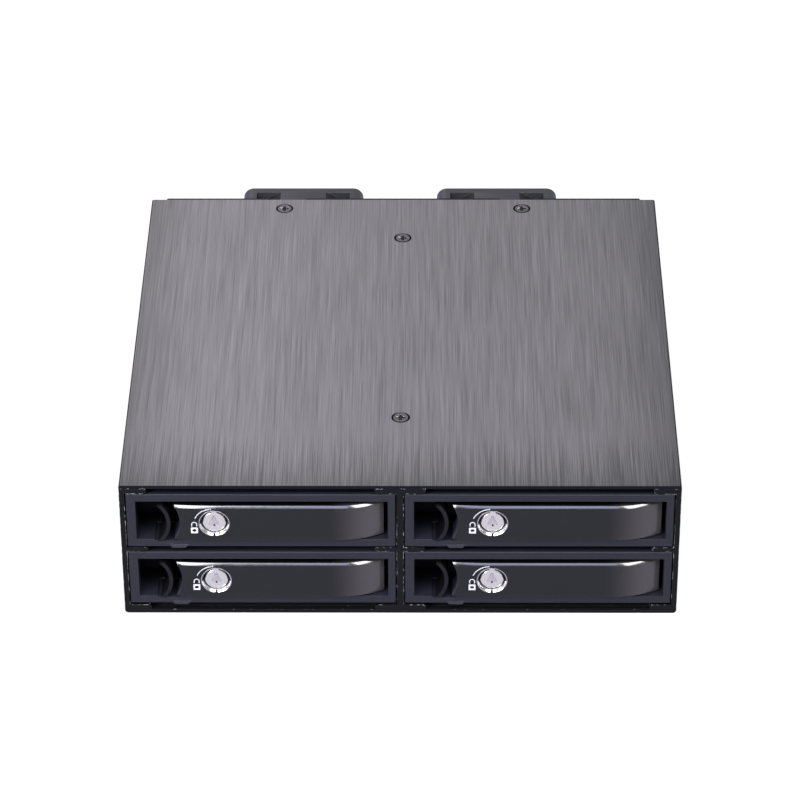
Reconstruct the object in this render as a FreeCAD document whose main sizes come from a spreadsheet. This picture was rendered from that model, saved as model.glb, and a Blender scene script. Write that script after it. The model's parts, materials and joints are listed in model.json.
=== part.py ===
import FreeCAD, Part
import math
import os
import Sketcher

# Hot swap drive cage: four 2.5 inch trays in one 5.25 inch half-height bay.
#
# Frame: +Z up, the fronts of the trays face -Y, +X is to the right when the
# cage is seen from the front. The origin is the middle of the bottom of the
# box around the whole cage. Lengths are millimetres.
#
# The cage's own pieces are drawn with y = 0 on the front face of the trays
# and z = 0 on the underside of the floor. A tray's pieces are drawn from the
# lower left front corner of its bezel. A Placement moves both into place.

doc = FreeCAD.newDocument("drive_cage")

SIZES = {
    # outside of the cage
    "cage_width": 146.0,
    "cage_height": 41.3,
    "cage_depth": 142.9,
    "floor_thickness": 1.1,
    "wall_thickness": 1.3,
    "cover_thickness": 1.0,
    "front_thickness": 1.5,
    "bend_radius": 1.0,
    "cover_edge_radius": 0.6,
    "lip_width": 5.75,
    # the four bays
    "column_pitch": 72.5,
    "row_pitch": 18.5,
    "first_row": 3.25,
    "tray_width": 70.1,
    "tray_height": 16.7,
    "side_gap": 0.3,
    "rail_gap": 0.3,
    "rail_end": 118.0,
    "tab_length": 5.7,
    "tab_chamfer": 0.5,
    "bottom_tab_height": 1.55,
    "top_tab_height": 1.6,
    "post_width": 1.8,
    "divider_end": 128.9,
    # holes for mounting the cage, as on other drives of this size
    "mount_front": 52.3,
    "mount_spacing": 79.25,
    "mount_low": 10.0,
    "mount_rise": 11.84,
    "mount_across": 139.7,
    "mount_hole": 2.5,
    "screw_room": 3.4,
    "screw_room_depth": 3.0,
    # cover screws
    "screw_size": 3.0,
    "screw_head": 5.0,
    "cover_hole": 3.2,
    "cover_screw_length": 3.8,
    "centre_screw_front": 31.3,
    "centre_screw_back": 121.9,
    "side_screw_inset": 4.9,
    "side_screw_out": 34.3,
    # rear panel
    "panel_width": 139.5,
    "panel_thickness": 1.2,
    "panel_bottom": 0.3,
    "panel_top": 41.0,
    "panel_corner": 1.3,
    "tab_width": 12.4,
    "tab_reach": 10.5,
    "ear_width": 8.0,
    "ear_low": 4.0,
    "ear_high": 36.0,
    # backplane and connectors
    "board_front": 129.3,
    "board_thickness": 1.6,
    "board_width": 138.0,
    "board_low": 1.9,
    "board_high": 38.6,
    "slot_width": 14.0,
    "slot_height": 5.0,
    "slot_out": 9.0,
    "slot_low": 16.2,
    "slot_rise": 18.2,
    "standoff_size": 5.0,
    "standoff_out": 50.2,
    "standoff_low": 6.2,
    "standoff_rise": 29.0,
    "socket_width": 41.0,
    "socket_height": 5.8,
    "socket_depth": 7.9,
    "socket_offset": 10.9,
    "socket_rise": 4.7,
    "contact_depth": 6.0,
    "contact_height": 2.4,
    "data_slot": 11.0,
    "supply_slot": 21.0,
    "contact_shift": 4.4,
    "port_width": 5.5,
    "data_port_height": 15.5,
    "data_port_out": 57.0,
    "data_port_pitch": 7.0,
    "power_port_height": 24.0,
    "power_port_pitch": 8.6,
    "port_wall": 1.1,
    "port_proud": 0.4,
    "port_depth": 6.0,
    # fans
    "fan_size": 35.0,
    "fan_depth": 10.5,
    "left_fan": -29.3,
    "right_fan": 27.3,
    "fan_height": 20.65,
    "fan_corner": 3.0,
    "fan_flange": 2.5,
    "fan_bore": 33.2,
    "fan_drum": 37.4,
    "fan_boss": 3.9,
    "fan_hub": 16.4,
    "fan_base": 2.0,
    "fan_strut": 1.8,
    "panel_air_hole": 31.0,
    "shaft_size": 2.8,
    "shaft_length": 7.0,
    "running_gap": 0.05,
    "rotor_gap": 0.5,
    "rotor_wall": 1.2,
    "blade_tip": 15.7,
    "blade_root": 7.0,
    "blade_sweep": 6.8,
    "blade_thickness": 0.8,
    "blade_count": 7,
    # tray pan
    "pan_front": 14.0,
    "pan_end": 119.0,
    "pan_thickness": 1.2,
    "pan_chamfer": 2.0,
    "drive_hole_across": 61.72,
    "drive_hole_along": 76.6,
    "drive_hole_front": 29.7,
    "drive_hole": 3.2,
    "vent_count": 5,
    "vent_pitch": 9.0,
    "vent_width": 4.0,
    "vent_length": 46.0,
    "vent_front": 45.0,
    # bezel
    "window_left": 2.45,
    "window_right": 2.0,
    "window_low": 2.35,
    "window_high": 2.25,
    "pocket_depth": 12.4,
    "bezel_edge": 0.3,
    "foot_depth": 5.4,
    "foot_height": 3.4,
    "foot_inset": 1.0,
    # lever
    "lever_left": 12.8,
    "lever_right": 1.1,
    "lever_low_gap": 0.4,
    "lever_high_gap": 1.0,
    "lever_proud": 1.0,
    "lever_back": 6.0,
    "lever_flat_end": 55.3,
    "lever_curve": 23.0,
    "lever_end_back": 2.2,
    "lever_heel": 0.7,
    "lever_face": 1.2,
    "lever_wall": 1.2,
    "lever_end_wall": 1.2,
    "lever_block": 57.5,
    "lever_hollow": 1.0,
    "lever_bevel": 0.7,
    "catch_reach": 0.6,
    "catch_depth": 1.4,
    "hinge_in": 8.1,
    "hinge_back": 5.0,
    "pin_size": 2.0,
    "pin_seat": 1.5,
    # latch
    "latch_middle": 11.45,
    "latch_radius": 8.56,
    "latch_thickness": 1.0,
    "latch_low": 2.3,
    "latch_high": 13.3,
    "latch_proud": 0.4,
    "latch_depth": 7.0,
    "neck_low": 6.5,
    "neck_high": 10.0,
    "neck_width": 1.0,
    "latch_travel": 1.3,
    "latch_play": 0.3,
    "slider_thickness": 2.0,
    "slider_gap": 0.3,
    "slider_low": 5.1,
    "slider_high": 11.4,
    "post_height": 2.0,
    "post_thickness": 0.8,
    "tongue_depth": 1.3,
    "tongue_width": 0.6,
    "guide_left": 12.0,
    "guide_right": 15.5,
    "guide_wall": 1.2,
    "guide_gap": 0.2,
    "guide_lip": 1.0,
    "notch_depth": 0.45,
    "notch_back": 8.0,
    "spring_gap": 3.4,
    "spring_leaf": 0.25,
    "spring_width": 3.0,
    "stop_thickness": 1.2,
    # lock
    "lock_in": 22.9,
    "lock_height": 8.4,
    "lock_ring": 8.0,
    "lock_ring_proud": 0.35,
    "lock_sleeve": 7.6,
    "lock_sleeve_depth": 3.6,
    "barrel_size": 6.4,
    "barrel_recess": 0.65,
    "barrel_length": 8.5,
    "barrel_gap": 0.06,
    "keyway_width": 0.9,
    "keyway_height": 4.0,
    "keyway_depth": 4.0,
    "cam_length": 4.3,
    "cam_width": 1.9,
    "cam_thickness": 1.0,
    "rib_left": 17.8,
    "rib_width": 1.5,
    "rib_top": 9.4,
    "rib_thickness": 1.0,
    "rib_gap": 0.4,
    "rib_root": 1.9,
    # light guide
    "guide_middle": 13.4,
    "guide_top_width": 5.5,
    "guide_bottom_width": 3.5,
    "guide_rise": 0.8,
    "guide_drop": 0.45,
    "guide_depth": 12.0,
}

dims = doc.addObject("Spreadsheet::Sheet", "dims")
for row, (alias, number) in enumerate(SIZES.items(), start=1):
    dims.set(f"A{row}", alias.replace("_", " "))
    dims.set(f"B{row}", str(number))
    dims.setAlias(f"B{row}", alias)
doc.recompute()

# Places that follow from the sizes. Each is an expression over the sheet.
places = doc.addObject("App::VarSet", "places")


def size(name):
    """The current number in the sheet, for a count or a choice of edges."""
    return float(getattr(dims, name))


def derive(name, expression):
    """Name a value that follows from the sheet, and return how to refer to it."""
    places.addProperty("App::PropertyFloat", name)
    places.setExpression(name, expression)
    places.recompute()
    return "places." + name


def value(expression):
    """The number that an expression over the sheet gives now."""
    result = dims.evalExpression(expression)
    return float(getattr(result, "Value", result))


D = "dims."
FRONT = derive("front", "(dims.lever_proud + dims.lock_ring_proud - dims.cage_depth"
                        " - dims.panel_thickness - dims.fan_depth) / 2")
HALF_WIDTH = derive("half_width", "dims.cage_width / 2")
COVER_LOW = derive("cover_low", "dims.cage_height - dims.cover_thickness")
WALL_IN = derive("wall_in", "places.half_width - dims.wall_thickness")
derive("bay_half", "dims.tray_width / 2 + dims.side_gap")
BAY_OUT = derive("bay_out", "dims.column_pitch / 2 + places.bay_half")
BAY_IN = derive("bay_in", "dims.column_pitch / 2 - places.bay_half")
SECOND_ROW = derive("second_row", "dims.first_row + dims.row_pitch")
RAIL_LOW = derive("rail_low", "dims.first_row - dims.rail_gap")
MID_LOW = derive("mid_low", "dims.first_row + dims.tray_height + dims.rail_gap")
MID_HIGH = derive("mid_high", "places.second_row - dims.rail_gap")
TOP_TAB = derive("top_tab", "places.cover_low - dims.top_tab_height")
RAIL_IN = derive("rail_in", "places.bay_out - dims.tab_length")
CENTRE_RAIL = derive("centre_rail", "places.bay_in + dims.tab_length")
LIP_LOW = derive("lip_low", "places.cover_low - dims.wall_thickness")
PANEL_BACK = derive("panel_back", "dims.cage_depth + dims.panel_thickness")
SIDE_SCREW_BACK = derive("side_screw_back", "dims.cage_depth - dims.side_screw_inset")
BOARD_BACK = derive("board_back", "dims.board_front + dims.board_thickness")
WINDOW_TOP = derive("window_top", "dims.tray_height - dims.window_high")
WINDOW_END = derive("window_end", "dims.tray_width - dims.window_right")
LEVER_LOW = derive("lever_low", "dims.window_low + dims.lever_low_gap")
LEVER_HIGH = derive("lever_high", "places.window_top - dims.lever_high_gap")
LEVER_END = derive("lever_end", "places.window_end - dims.lever_right")
LEVER_MIDDLE = derive("lever_middle", "(places.lever_low + places.lever_high) / 2")
HINGE_X = derive("hinge_x", "dims.tray_width - dims.hinge_in")
CATCH_LEFT = derive("catch_left", "dims.lever_left + dims.lever_hollow"
                                  " + dims.lever_end_wall")
CATCH_RIGHT = derive("catch_right", "places.catch_left + dims.catch_reach")
TONGUE_LEFT = derive("tongue_left", "places.catch_right + dims.latch_play")
POST_LEFT = derive("post_left", "places.tongue_left + dims.tongue_width")
SLIDER_RIGHT = derive("slider_right", "places.post_left + dims.post_thickness")
SLIDER_BACK = derive("slider_back", "dims.pocket_depth - dims.slider_gap")
SLIDER_FRONT = derive("slider_front", "places.slider_back - dims.slider_thickness")
POST_LOW = derive("post_low", "dims.slider_high - dims.post_height")
CATCH_FRONT = derive("catch_front", "dims.lever_back - dims.catch_depth")
TONGUE_FRONT = derive("tongue_front", "places.catch_front - dims.latch_play"
                                      " - dims.tongue_depth")
STOP_LEFT = derive("stop_left", "places.slider_right + dims.spring_gap")
CAM_FRONT = derive("cam_front", "dims.barrel_recess - dims.lever_proud"
                                " - dims.lock_ring_proud + dims.barrel_length")
RIB_FRONT = derive("rib_front", "dims.lever_back + dims.rib_gap")

ROLES = {"XY": "XY_Plane", "XZ": "XZ_Plane", "YZ": "YZ_Plane"}
sub_parts = []


# ---------------------------------------------------------------- drawing
class Round:
    """A whole circle in a sketch."""

    def __init__(self, across, up, diameter):
        self.across = across
        self.up = up
        self.diameter = diameter


def box_loop(left, low, right, high):
    """A rectangle between two corners."""
    return [(left, low), (right, low), (right, high), (left, high)]


def negative(expression):
    return f"-({expression})"


def mirrored(loop):
    """The same outline on the other side of the middle plane."""
    return [(negative(point[0]),) + tuple(point[1:]) for point in loop]


def arc_between(start, end, radius, bulge):
    """A minor arc whose middle lies to the right (+1) or left (-1) of the
    way from start to end. Returns it and whether it runs from start."""
    chord = end - start
    middle = (start + end) / 2
    side = FreeCAD.Vector(chord.y, -chord.x, 0).normalize() * bulge
    rise = math.sqrt(max(radius ** 2 - (chord.Length / 2) ** 2, 0.0))
    crown = middle + side * (radius - rise)
    arc = Part.Arc(start, crown, end).toShape().Curve
    centre = arc.Center
    first = math.atan2(start.y - centre.y, start.x - centre.x)
    last = math.atan2(end.y - centre.y, end.x - centre.x)
    circle = Part.Circle(centre, FreeCAD.Vector(0, 0, 1), radius)
    if bulge > 0:
        return Part.ArcOfCircle(circle, first, last), True
    return Part.ArcOfCircle(circle, last, first), False


def bind(sketch, kind, references, expression):
    """Add a constraint that the sheet drives."""
    number = sketch.addConstraint(
        Sketcher.Constraint(kind, *references, value(expression)))
    sketch.setExpression(f"Constraints[{number}]", expression)


def draw_loop(sketch, loop):
    """Draw a closed outline. A point is (across, up), or (across, up,
    radius, bulge) where an arc leads to the next point, or (across, up,
    bulge) where a half circle leads to a next point that is level with it."""
    corners = [FreeCAD.Vector(value(point[0]), value(point[1]), 0) for point in loop]
    first = sketch.GeometryCount
    ends = []
    for index, point in enumerate(loop):
        start = corners[index]
        end = corners[(index + 1) % len(loop)]
        forward = True
        if len(point) > 2:
            radius = value(point[2]) if len(point) == 4 else (end - start).Length / 2
            edge, forward = arc_between(start, end, radius, point[-1])
        else:
            edge = Part.LineSegment(start, end)
        sketch.addGeometry(edge, False)
        ends.append((1, 2) if forward else (2, 1))
    for index, point in enumerate(loop):
        edge = first + index
        after = (index + 1) % len(loop)
        sketch.addConstraint(Sketcher.Constraint(
            "Coincident", edge, ends[index][1], first + after, ends[after][0]))
        bind(sketch, "DistanceX", (-1, 1, edge, ends[index][0]), point[0])
        bind(sketch, "DistanceY", (-1, 1, edge, ends[index][0]), point[1])
        if len(point) == 4:
            bind(sketch, "Radius", (edge,), point[2])
        elif len(point) == 3:
            bind(sketch, "DistanceY", (-1, 1, edge, 3), point[1])


def draw_round(sketch, item):
    centre = FreeCAD.Vector(value(item.across), value(item.up), 0)
    radius = value(item.diameter) / 2
    edge = sketch.addGeometry(
        Part.Circle(centre, FreeCAD.Vector(0, 0, 1), radius), False)
    bind(sketch, "DistanceX", (-1, 1, edge, 3), item.across)
    bind(sketch, "DistanceY", (-1, 1, edge, 3), item.up)
    bind(sketch, "Diameter", (edge,), item.diameter)


def make_sketch(body, plane, outlines, start):
    """A sketch on one of the body's own origin planes, moved to start."""
    sketch = body.newObject("Sketcher::SketchObject", body.Name + "_sketch")
    role = ROLES[plane]
    support = [item for item in body.Origin.OriginFeatures if item.Role == role][0]
    sketch.AttachmentSupport = [(support, "")]
    sketch.MapMode = "FlatFace"
    away = negative(start) if plane == "XZ" else start
    sketch.setExpression("AttachmentOffset.Base.z", away)
    for outline in outlines:
        if isinstance(outline, Round):
            draw_round(sketch, outline)
        else:
            draw_loop(sketch, outline)
    return sketch


def new_body(name, x="0", y=FRONT, z="0"):
    """A sub-part: a PartDesign body with its own label and placement."""
    body = doc.addObject("PartDesign::Body", name)
    body.Label = name
    body.AllowCompound = True
    place(body, x, y, z)
    sub_parts.append(body)
    return body


def place(item, x, y, z):
    for axis, expression in zip("xyz", (x, y, z)):
        item.setExpression("Placement.Base." + axis, expression)


def add(body, plane, outlines, start, end):
    """Pad outlines from start to end along the plane's + axis."""
    feature = body.newObject("PartDesign::Pad", body.Name + "_pad")
    feature.Profile = make_sketch(body, plane, outlines, start)
    feature.setExpression("Length", f"({end}) - ({start})")
    feature.Reversed = plane == "XZ"
    return feature


def cut(body, plane, outlines, start, end):
    """Pocket outlines from start to end along the plane's + axis."""
    feature = body.newObject("PartDesign::Pocket", body.Name + "_pocket")
    feature.Profile = make_sketch(body, plane, outlines, start)
    feature.setExpression("Length", f"({end}) - ({start})")
    feature.Reversed = plane != "XZ"
    return feature


def soften(body, kind, amount, chosen):
    """A Fillet or Chamfer on the edges of the tip that chosen() accepts."""
    doc.recompute()
    base = body.Tip
    names = [f"Edge{index}" for index, edge in enumerate(base.Shape.Edges, start=1)
             if chosen(edge)]
    feature = body.newObject("PartDesign::" + kind, body.Name + "_edge")
    feature.Base = (base, names)
    feature.setExpression("Size" if kind == "Chamfer" else "Radius", amount)
    return feature


def near(number, expression):
    return abs(number - value(expression)) < 0.01


def straight_at(**where):
    """Choose straight edges that lie wholly at the named coordinates."""
    def chosen(edge):
        box = edge.BoundBox
        spans = {"x": (box.XMin, box.XMax), "y": (box.YMin, box.YMax),
                 "z": (box.ZMin, box.ZMax)}
        return edge.Curve.TypeId == "Part::GeomLine" and all(
            near(spans[axis][0], target) and near(spans[axis][1], target)
            for axis, target in where.items())
    return chosen


def ring_at(axis, target, diameter):
    """Choose whole circles of one diameter at one height along an axis."""
    def chosen(edge):
        if edge.Curve.TypeId != "Part::GeomCircle":
            return False
        at = getattr(edge.Curve.Center, axis)
        return near(at, target) and near(2 * edge.Curve.Radius, diameter)
    return chosen


def either(*choices):
    return lambda edge: any(choice(edge) for choice in choices)


# ------------------------------------------------------------------ screws
def sunk_screw(name, spot):
    """A countersunk screw that points down, with its flat head's top at spot."""
    shank = doc.addObject("Part::Cylinder", name + "_shank")
    shank.setExpression("Radius", D + "screw_size / 2")
    shank.setExpression("Height", D + "cover_screw_length")
    head = doc.addObject("Part::Cone", name + "_head")
    head.setExpression("Radius1", D + "screw_head / 2")
    head.setExpression("Radius2", D + "screw_size / 2")
    head.setExpression("Height", f"({D}screw_head - {D}screw_size) / 2")
    whole = doc.addObject("Part::MultiFuse", name)
    whole.Shapes = [shank, head]
    whole.Placement = FreeCAD.Placement(
        FreeCAD.Vector(), FreeCAD.Rotation(FreeCAD.Vector(1, 0, 0), 180))
    place(whole, *spot)
    return whole


# ------------------------------------------------------------ sheet metal
def bay_profile():
    """The opening of the left column: one hole for two bays, with tabs that
    reach in below, between and above the trays."""
    outer, inner = negative(BAY_OUT), negative(BAY_IN)
    reach, slant = D + "tab_length", D + "tab_chamfer"
    low, high = D + "floor_thickness", COVER_LOW
    bottom = f"{low} + {D}bottom_tab_height"

    def side(edge, sign):
        tip = f"({edge}) {sign} {reach}"
        slope = f"({edge}) {sign} ({reach} - {slant})"
        return [
            (tip, low), (tip, f"{bottom} - {slant}"), (slope, bottom), (edge, bottom),
            (edge, MID_LOW), (slope, MID_LOW), (tip, f"{MID_LOW} + {slant}"),
            (tip, f"{MID_HIGH} - {slant}"), (slope, MID_HIGH), (edge, MID_HIGH),
            (edge, TOP_TAB), (slope, TOP_TAB), (tip, f"{TOP_TAB} + {slant}"),
            (tip, high),
        ]
    return side(outer, "+") + side(inner, "-")[::-1]


def mount_rounds(plane, diameter):
    """The mounting holes in the walls (YZ) or in the floor (XY)."""
    rounds = []
    for along in ("0", D + "mount_spacing"):
        back = f"{D}mount_front + {along}"
        if plane == "YZ":
            rounds += [Round(back, f"{D}mount_low + {rise}", diameter)
                       for rise in ("0", D + "mount_rise")]
        else:
            rounds += [Round(f"{sign}{D}mount_across / 2", back, diameter)
                       for sign in ("-", "")]
    return rounds


def make_chassis_base():
    """Folded steel channel: floor, two walls with a lip along the top, and
    two ears at the back that carry the rear panel."""
    body = new_body("chassis_base")
    wall, lip = WALL_IN, f"{HALF_WIDTH} - {D}lip_width - {D}wall_thickness"
    half = [("0", "0"), (HALF_WIDTH, "0"), (HALF_WIDTH, COVER_LOW), (lip, COVER_LOW),
            (lip, LIP_LOW), (wall, LIP_LOW), (wall, D + "floor_thickness"),
            ("0", D + "floor_thickness")]
    outline = half[1:-1] + mirrored(half[1:-1])[::-1]
    add(body, "XZ", [outline], D + "front_thickness", D + "cage_depth")
    ear = box_loop(f"{wall} - {D}ear_width", D + "ear_low", wall, D + "ear_high")
    add(body, "XZ", [ear, mirrored(ear)],
        f"{D}cage_depth - {D}wall_thickness", D + "cage_depth")
    cut(body, "YZ", mount_rounds("YZ", D + "mount_hole"),
        negative(HALF_WIDTH), HALF_WIDTH)
    cut(body, "XY", mount_rounds("XY", D + "mount_hole"), "0", D + "floor_thickness")
    soften(body, "Fillet", D + "bend_radius", either(
        straight_at(x=HALF_WIDTH, z="0"), straight_at(x=negative(HALF_WIDTH), z="0")))


def cover_screw_spots():
    """Where the cover's screws go: two on the middle, two near the back."""
    return [("0", D + "centre_screw_front"), ("0", D + "centre_screw_back"),
            (negative(D + "side_screw_out"), SIDE_SCREW_BACK),
            (D + "side_screw_out", SIDE_SCREW_BACK)]


def make_top_cover():
    """Flat brushed sheet with softened long edges and countersunk holes."""
    body = new_body("top_cover")
    sheet = box_loop(negative(HALF_WIDTH), "0", HALF_WIDTH, D + "cage_depth")
    add(body, "XY", [sheet], COVER_LOW, D + "cage_height")
    cut(body, "XY", [Round(x, y, D + "cover_hole") for x, y in cover_screw_spots()],
        COVER_LOW, D + "cage_height")
    soften(body, "Fillet", D + "cover_edge_radius", either(
        straight_at(x=HALF_WIDTH, z=D + "cage_height"),
        straight_at(x=negative(HALF_WIDTH), z=D + "cage_height")))
    soften(body, "Chamfer", f"({D}screw_head - {D}cover_hole) / 2",
           ring_at("z", D + "cage_height", D + "cover_hole"))


def make_cover_screws():
    """The cover's four screws, as one sub-part of separate solids."""
    name = "cover_screws"
    group = doc.addObject("Part::Compound", name)
    group.Label = name
    group.Links = [sunk_screw(f"cover_screw_{index}", (x, y, D + "cage_height"))
                   for index, (x, y) in enumerate(cover_screw_spots(), start=1)]
    place(group, "0", FRONT, "0")
    sub_parts.append(group)


def make_front_plate():
    """Punched front: a frame around two columns, with rail tabs."""
    body = new_body("front_plate")
    plate = box_loop(negative(HALF_WIDTH), "0", HALF_WIDTH, COVER_LOW)
    add(body, "XZ", [plate], "0", D + "front_thickness")
    bays = bay_profile()
    cut(body, "XZ", [bays, mirrored(bays)[::-1]], "0", D + "front_thickness")
    soften(body, "Fillet", D + "bend_radius", either(
        straight_at(x=HALF_WIDTH, z="0"), straight_at(x=negative(HALF_WIDTH), z="0")))


def make_center_divider():
    """Middle wall whose flanges are the inner rails of all four bays."""
    body = new_body("center_divider")
    web, flange = D + "post_width / 2", CENTRE_RAIL
    half = [(flange, D + "floor_thickness"), (flange, RAIL_LOW), (web, RAIL_LOW),
            (web, MID_LOW), (flange, MID_LOW), (flange, MID_HIGH), (web, MID_HIGH),
            (web, LIP_LOW), (flange, LIP_LOW), (flange, COVER_LOW)]
    add(body, "XZ", [half + mirrored(half)[::-1]],
        D + "front_thickness", D + "divider_end")
    holes = [Round(x, y, D + "screw_size") for x, y in cover_screw_spots()[:2]]
    cut(body, "XY", holes,
        f"{D}cage_height - {D}cover_screw_length", COVER_LOW)


def make_guide_rails(name, sign):
    """Two bars welded to a side wall. The trays run on and under them."""
    body = new_body(name)
    low = box_loop(RAIL_IN, D + "floor_thickness", WALL_IN, RAIL_LOW)
    middle = box_loop(RAIL_IN, MID_LOW, WALL_IN, MID_HIGH)
    bars = [low, middle]
    start, end = f"{WALL_IN} - {D}screw_room_depth", WALL_IN
    if sign < 0:
        bars = [mirrored(bar) for bar in bars]
        start, end = negative(end), negative(start)
    add(body, "XZ", bars, D + "front_thickness", D + "rail_end")
    upper = [item for item in mount_rounds("YZ", D + "screw_room")
             if "rise" in item.up]
    cut(body, "YZ", upper, start, end)
    floor = [Round(item.across, item.up, D + "screw_room")
             for item in mount_rounds("XY", D + "mount_hole")]
    cut(body, "XY", floor, D + "floor_thickness", RAIL_LOW)


# -------------------------------------------------------------- rear panel
def fan_centres():
    return [D + "left_fan", D + "right_fan"]


def port_centres():
    """The data ports near both ends, then the supply ports between the fans."""
    data = [(f"{sign}({D}data_port_out {step} {D}data_port_pitch / 2)",
             D + "fan_height") for sign in ("-", "") for step in "-+"]
    supply = [(f"({D}left_fan + {D}right_fan) / 2 {step} {D}power_port_pitch / 2",
               D + "fan_height") for step in "-+"]
    return data, supply


def around(centre, width, height):
    """A rectangle about a centre."""
    across, up = centre
    return box_loop(f"{across} - ({width}) / 2", f"{up} - ({height}) / 2",
                    f"{across} + ({width}) / 2", f"{up} + ({height}) / 2")


def standoff_spots():
    return [(f"{sign}{D}standoff_out", f"{D}standoff_low + {rise}")
            for sign in ("-", "") for rise in ("0", D + "standoff_rise")]


def make_rear_panel():
    """Plate behind the channel. Two tabs of its top edge are folded forward
    under the cover and take the cover's rear screws."""
    body = new_body("rear_panel")
    edge, corner = f"{D}panel_width / 2", D + "panel_corner"
    low, high = D + "panel_bottom", D + "panel_top"
    near_side = f"{D}side_screw_out - {D}tab_width / 2"
    far_side = f"{D}side_screw_out + {D}tab_width / 2"
    half = [(f"{edge} - {corner}", low), (edge, f"{low} + {corner}"),
            (edge, f"{high} - {corner}"), (f"{edge} - {corner}", high),
            (far_side, high), (far_side, COVER_LOW), (near_side, COVER_LOW),
            (near_side, high)]
    add(body, "XZ", [half + mirrored(half)[::-1]], D + "cage_depth", PANEL_BACK)
    tab = box_loop(near_side, f"{COVER_LOW} - {D}panel_thickness", far_side, COVER_LOW)
    add(body, "XZ", [tab, mirrored(tab)],
        f"{D}cage_depth - {D}tab_reach", D + "cage_depth")
    data, supply = port_centres()
    rounds = [Round(x, D + "fan_height", D + "panel_air_hole") for x in fan_centres()]
    ports = [around(spot, D + "port_width", D + "data_port_height") for spot in data]
    ports += [around(spot, D + "port_width", D + "power_port_height")
              for spot in supply]
    cut(body, "XZ", rounds + ports, D + "cage_depth", PANEL_BACK)
    rear = [Round(x, y, D + "screw_size") for x, y in cover_screw_spots()[2:]]
    cut(body, "XY", rear, f"{COVER_LOW} - {D}panel_thickness", COVER_LOW)


# --------------------------------------------------------------- backplane
def socket_centres():
    """Middle of each drive socket, one for every bay."""
    return [(f"{sign}{D}column_pitch / 2 - {D}socket_offset",
             f"{row} + {D}pan_thickness + {D}socket_rise")
            for row in (D + "first_row", SECOND_ROW) for sign in ("-", "")]


def make_backplane_board():
    """Circuit board across the cage, with air slots in front of the fans."""
    body = new_body("backplane_board")
    edge = f"{D}board_width / 2"
    board = box_loop(negative(edge), D + "board_low", edge, D + "board_high")
    slots = [around((f"{x} {step} {D}slot_out", f"{D}slot_low + {rise}"),
                    D + "slot_width", D + "slot_height")
             for x in fan_centres() for step in "-+"
             for rise in ("0", D + "slot_rise")]
    add(body, "XZ", [board] + slots, D + "board_front", BOARD_BACK)


def make_board_standoffs():
    """Hexagonal pillars between the rear panel and the board."""
    body = new_body("board_standoffs")
    point, flat = f"{D}standoff_size / sqrt(3)", f"{D}standoff_size / 2"
    pillars = [[(f"{x} + {across} * {point}", f"{z} + {up} * {flat}")
                for across, up in ((1, 0), (0.5, 1), (-0.5, 1),
                                   (-1, 0), (-0.5, -1), (0.5, -1))]
               for x, z in standoff_spots()]
    add(body, "XZ", pillars, BOARD_BACK, D + "cage_depth")


def make_drive_sockets():
    """Sockets for the data and supply contacts of the drives."""
    body = new_body("drive_sockets")
    centres = socket_centres()
    front = f"{D}board_front - {D}socket_depth"
    add(body, "XZ", [around(spot, D + "socket_width", D + "socket_height")
                     for spot in centres], front, D + "board_front")
    gaps = []
    for across, up in centres:
        middle = f"{across} + {D}contact_shift"
        wall = D + "port_wall"
        gaps.append(box_loop(
            f"{middle} + {wall} / 2", f"{up} - {D}contact_height / 2",
            f"{middle} + {wall} / 2 + {D}data_slot", f"{up} + {D}contact_height / 2"))
        gaps.append(box_loop(
            f"{middle} - {wall} / 2 - {D}supply_slot", f"{up} - {D}contact_height / 2",
            f"{middle} - {wall} / 2", f"{up} + {D}contact_height / 2"))
    cut(body, "XZ", gaps, front, f"{front} + {D}contact_depth")


def make_ports(name, centres, height):
    """Upright ports soldered to the board, flush with the rear panel."""
    body = new_body(name)
    end = f"{PANEL_BACK} + {D}port_proud"
    add(body, "XZ", [around(spot, D + "port_width", height) for spot in centres],
        BOARD_BACK, end)
    wall = D + "port_wall"
    cut(body, "XZ", [around(spot, f"{D}port_width - 2 * {wall}",
                            f"{height} - 2 * {wall}") for spot in centres],
        f"{end} - {D}port_depth", end)
    tongues = [around(spot, wall, f"{height} - 4 * {wall}") for spot in centres]
    add(body, "XZ", tongues, f"{end} - {D}port_depth", f"{end} - {wall}")


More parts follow.
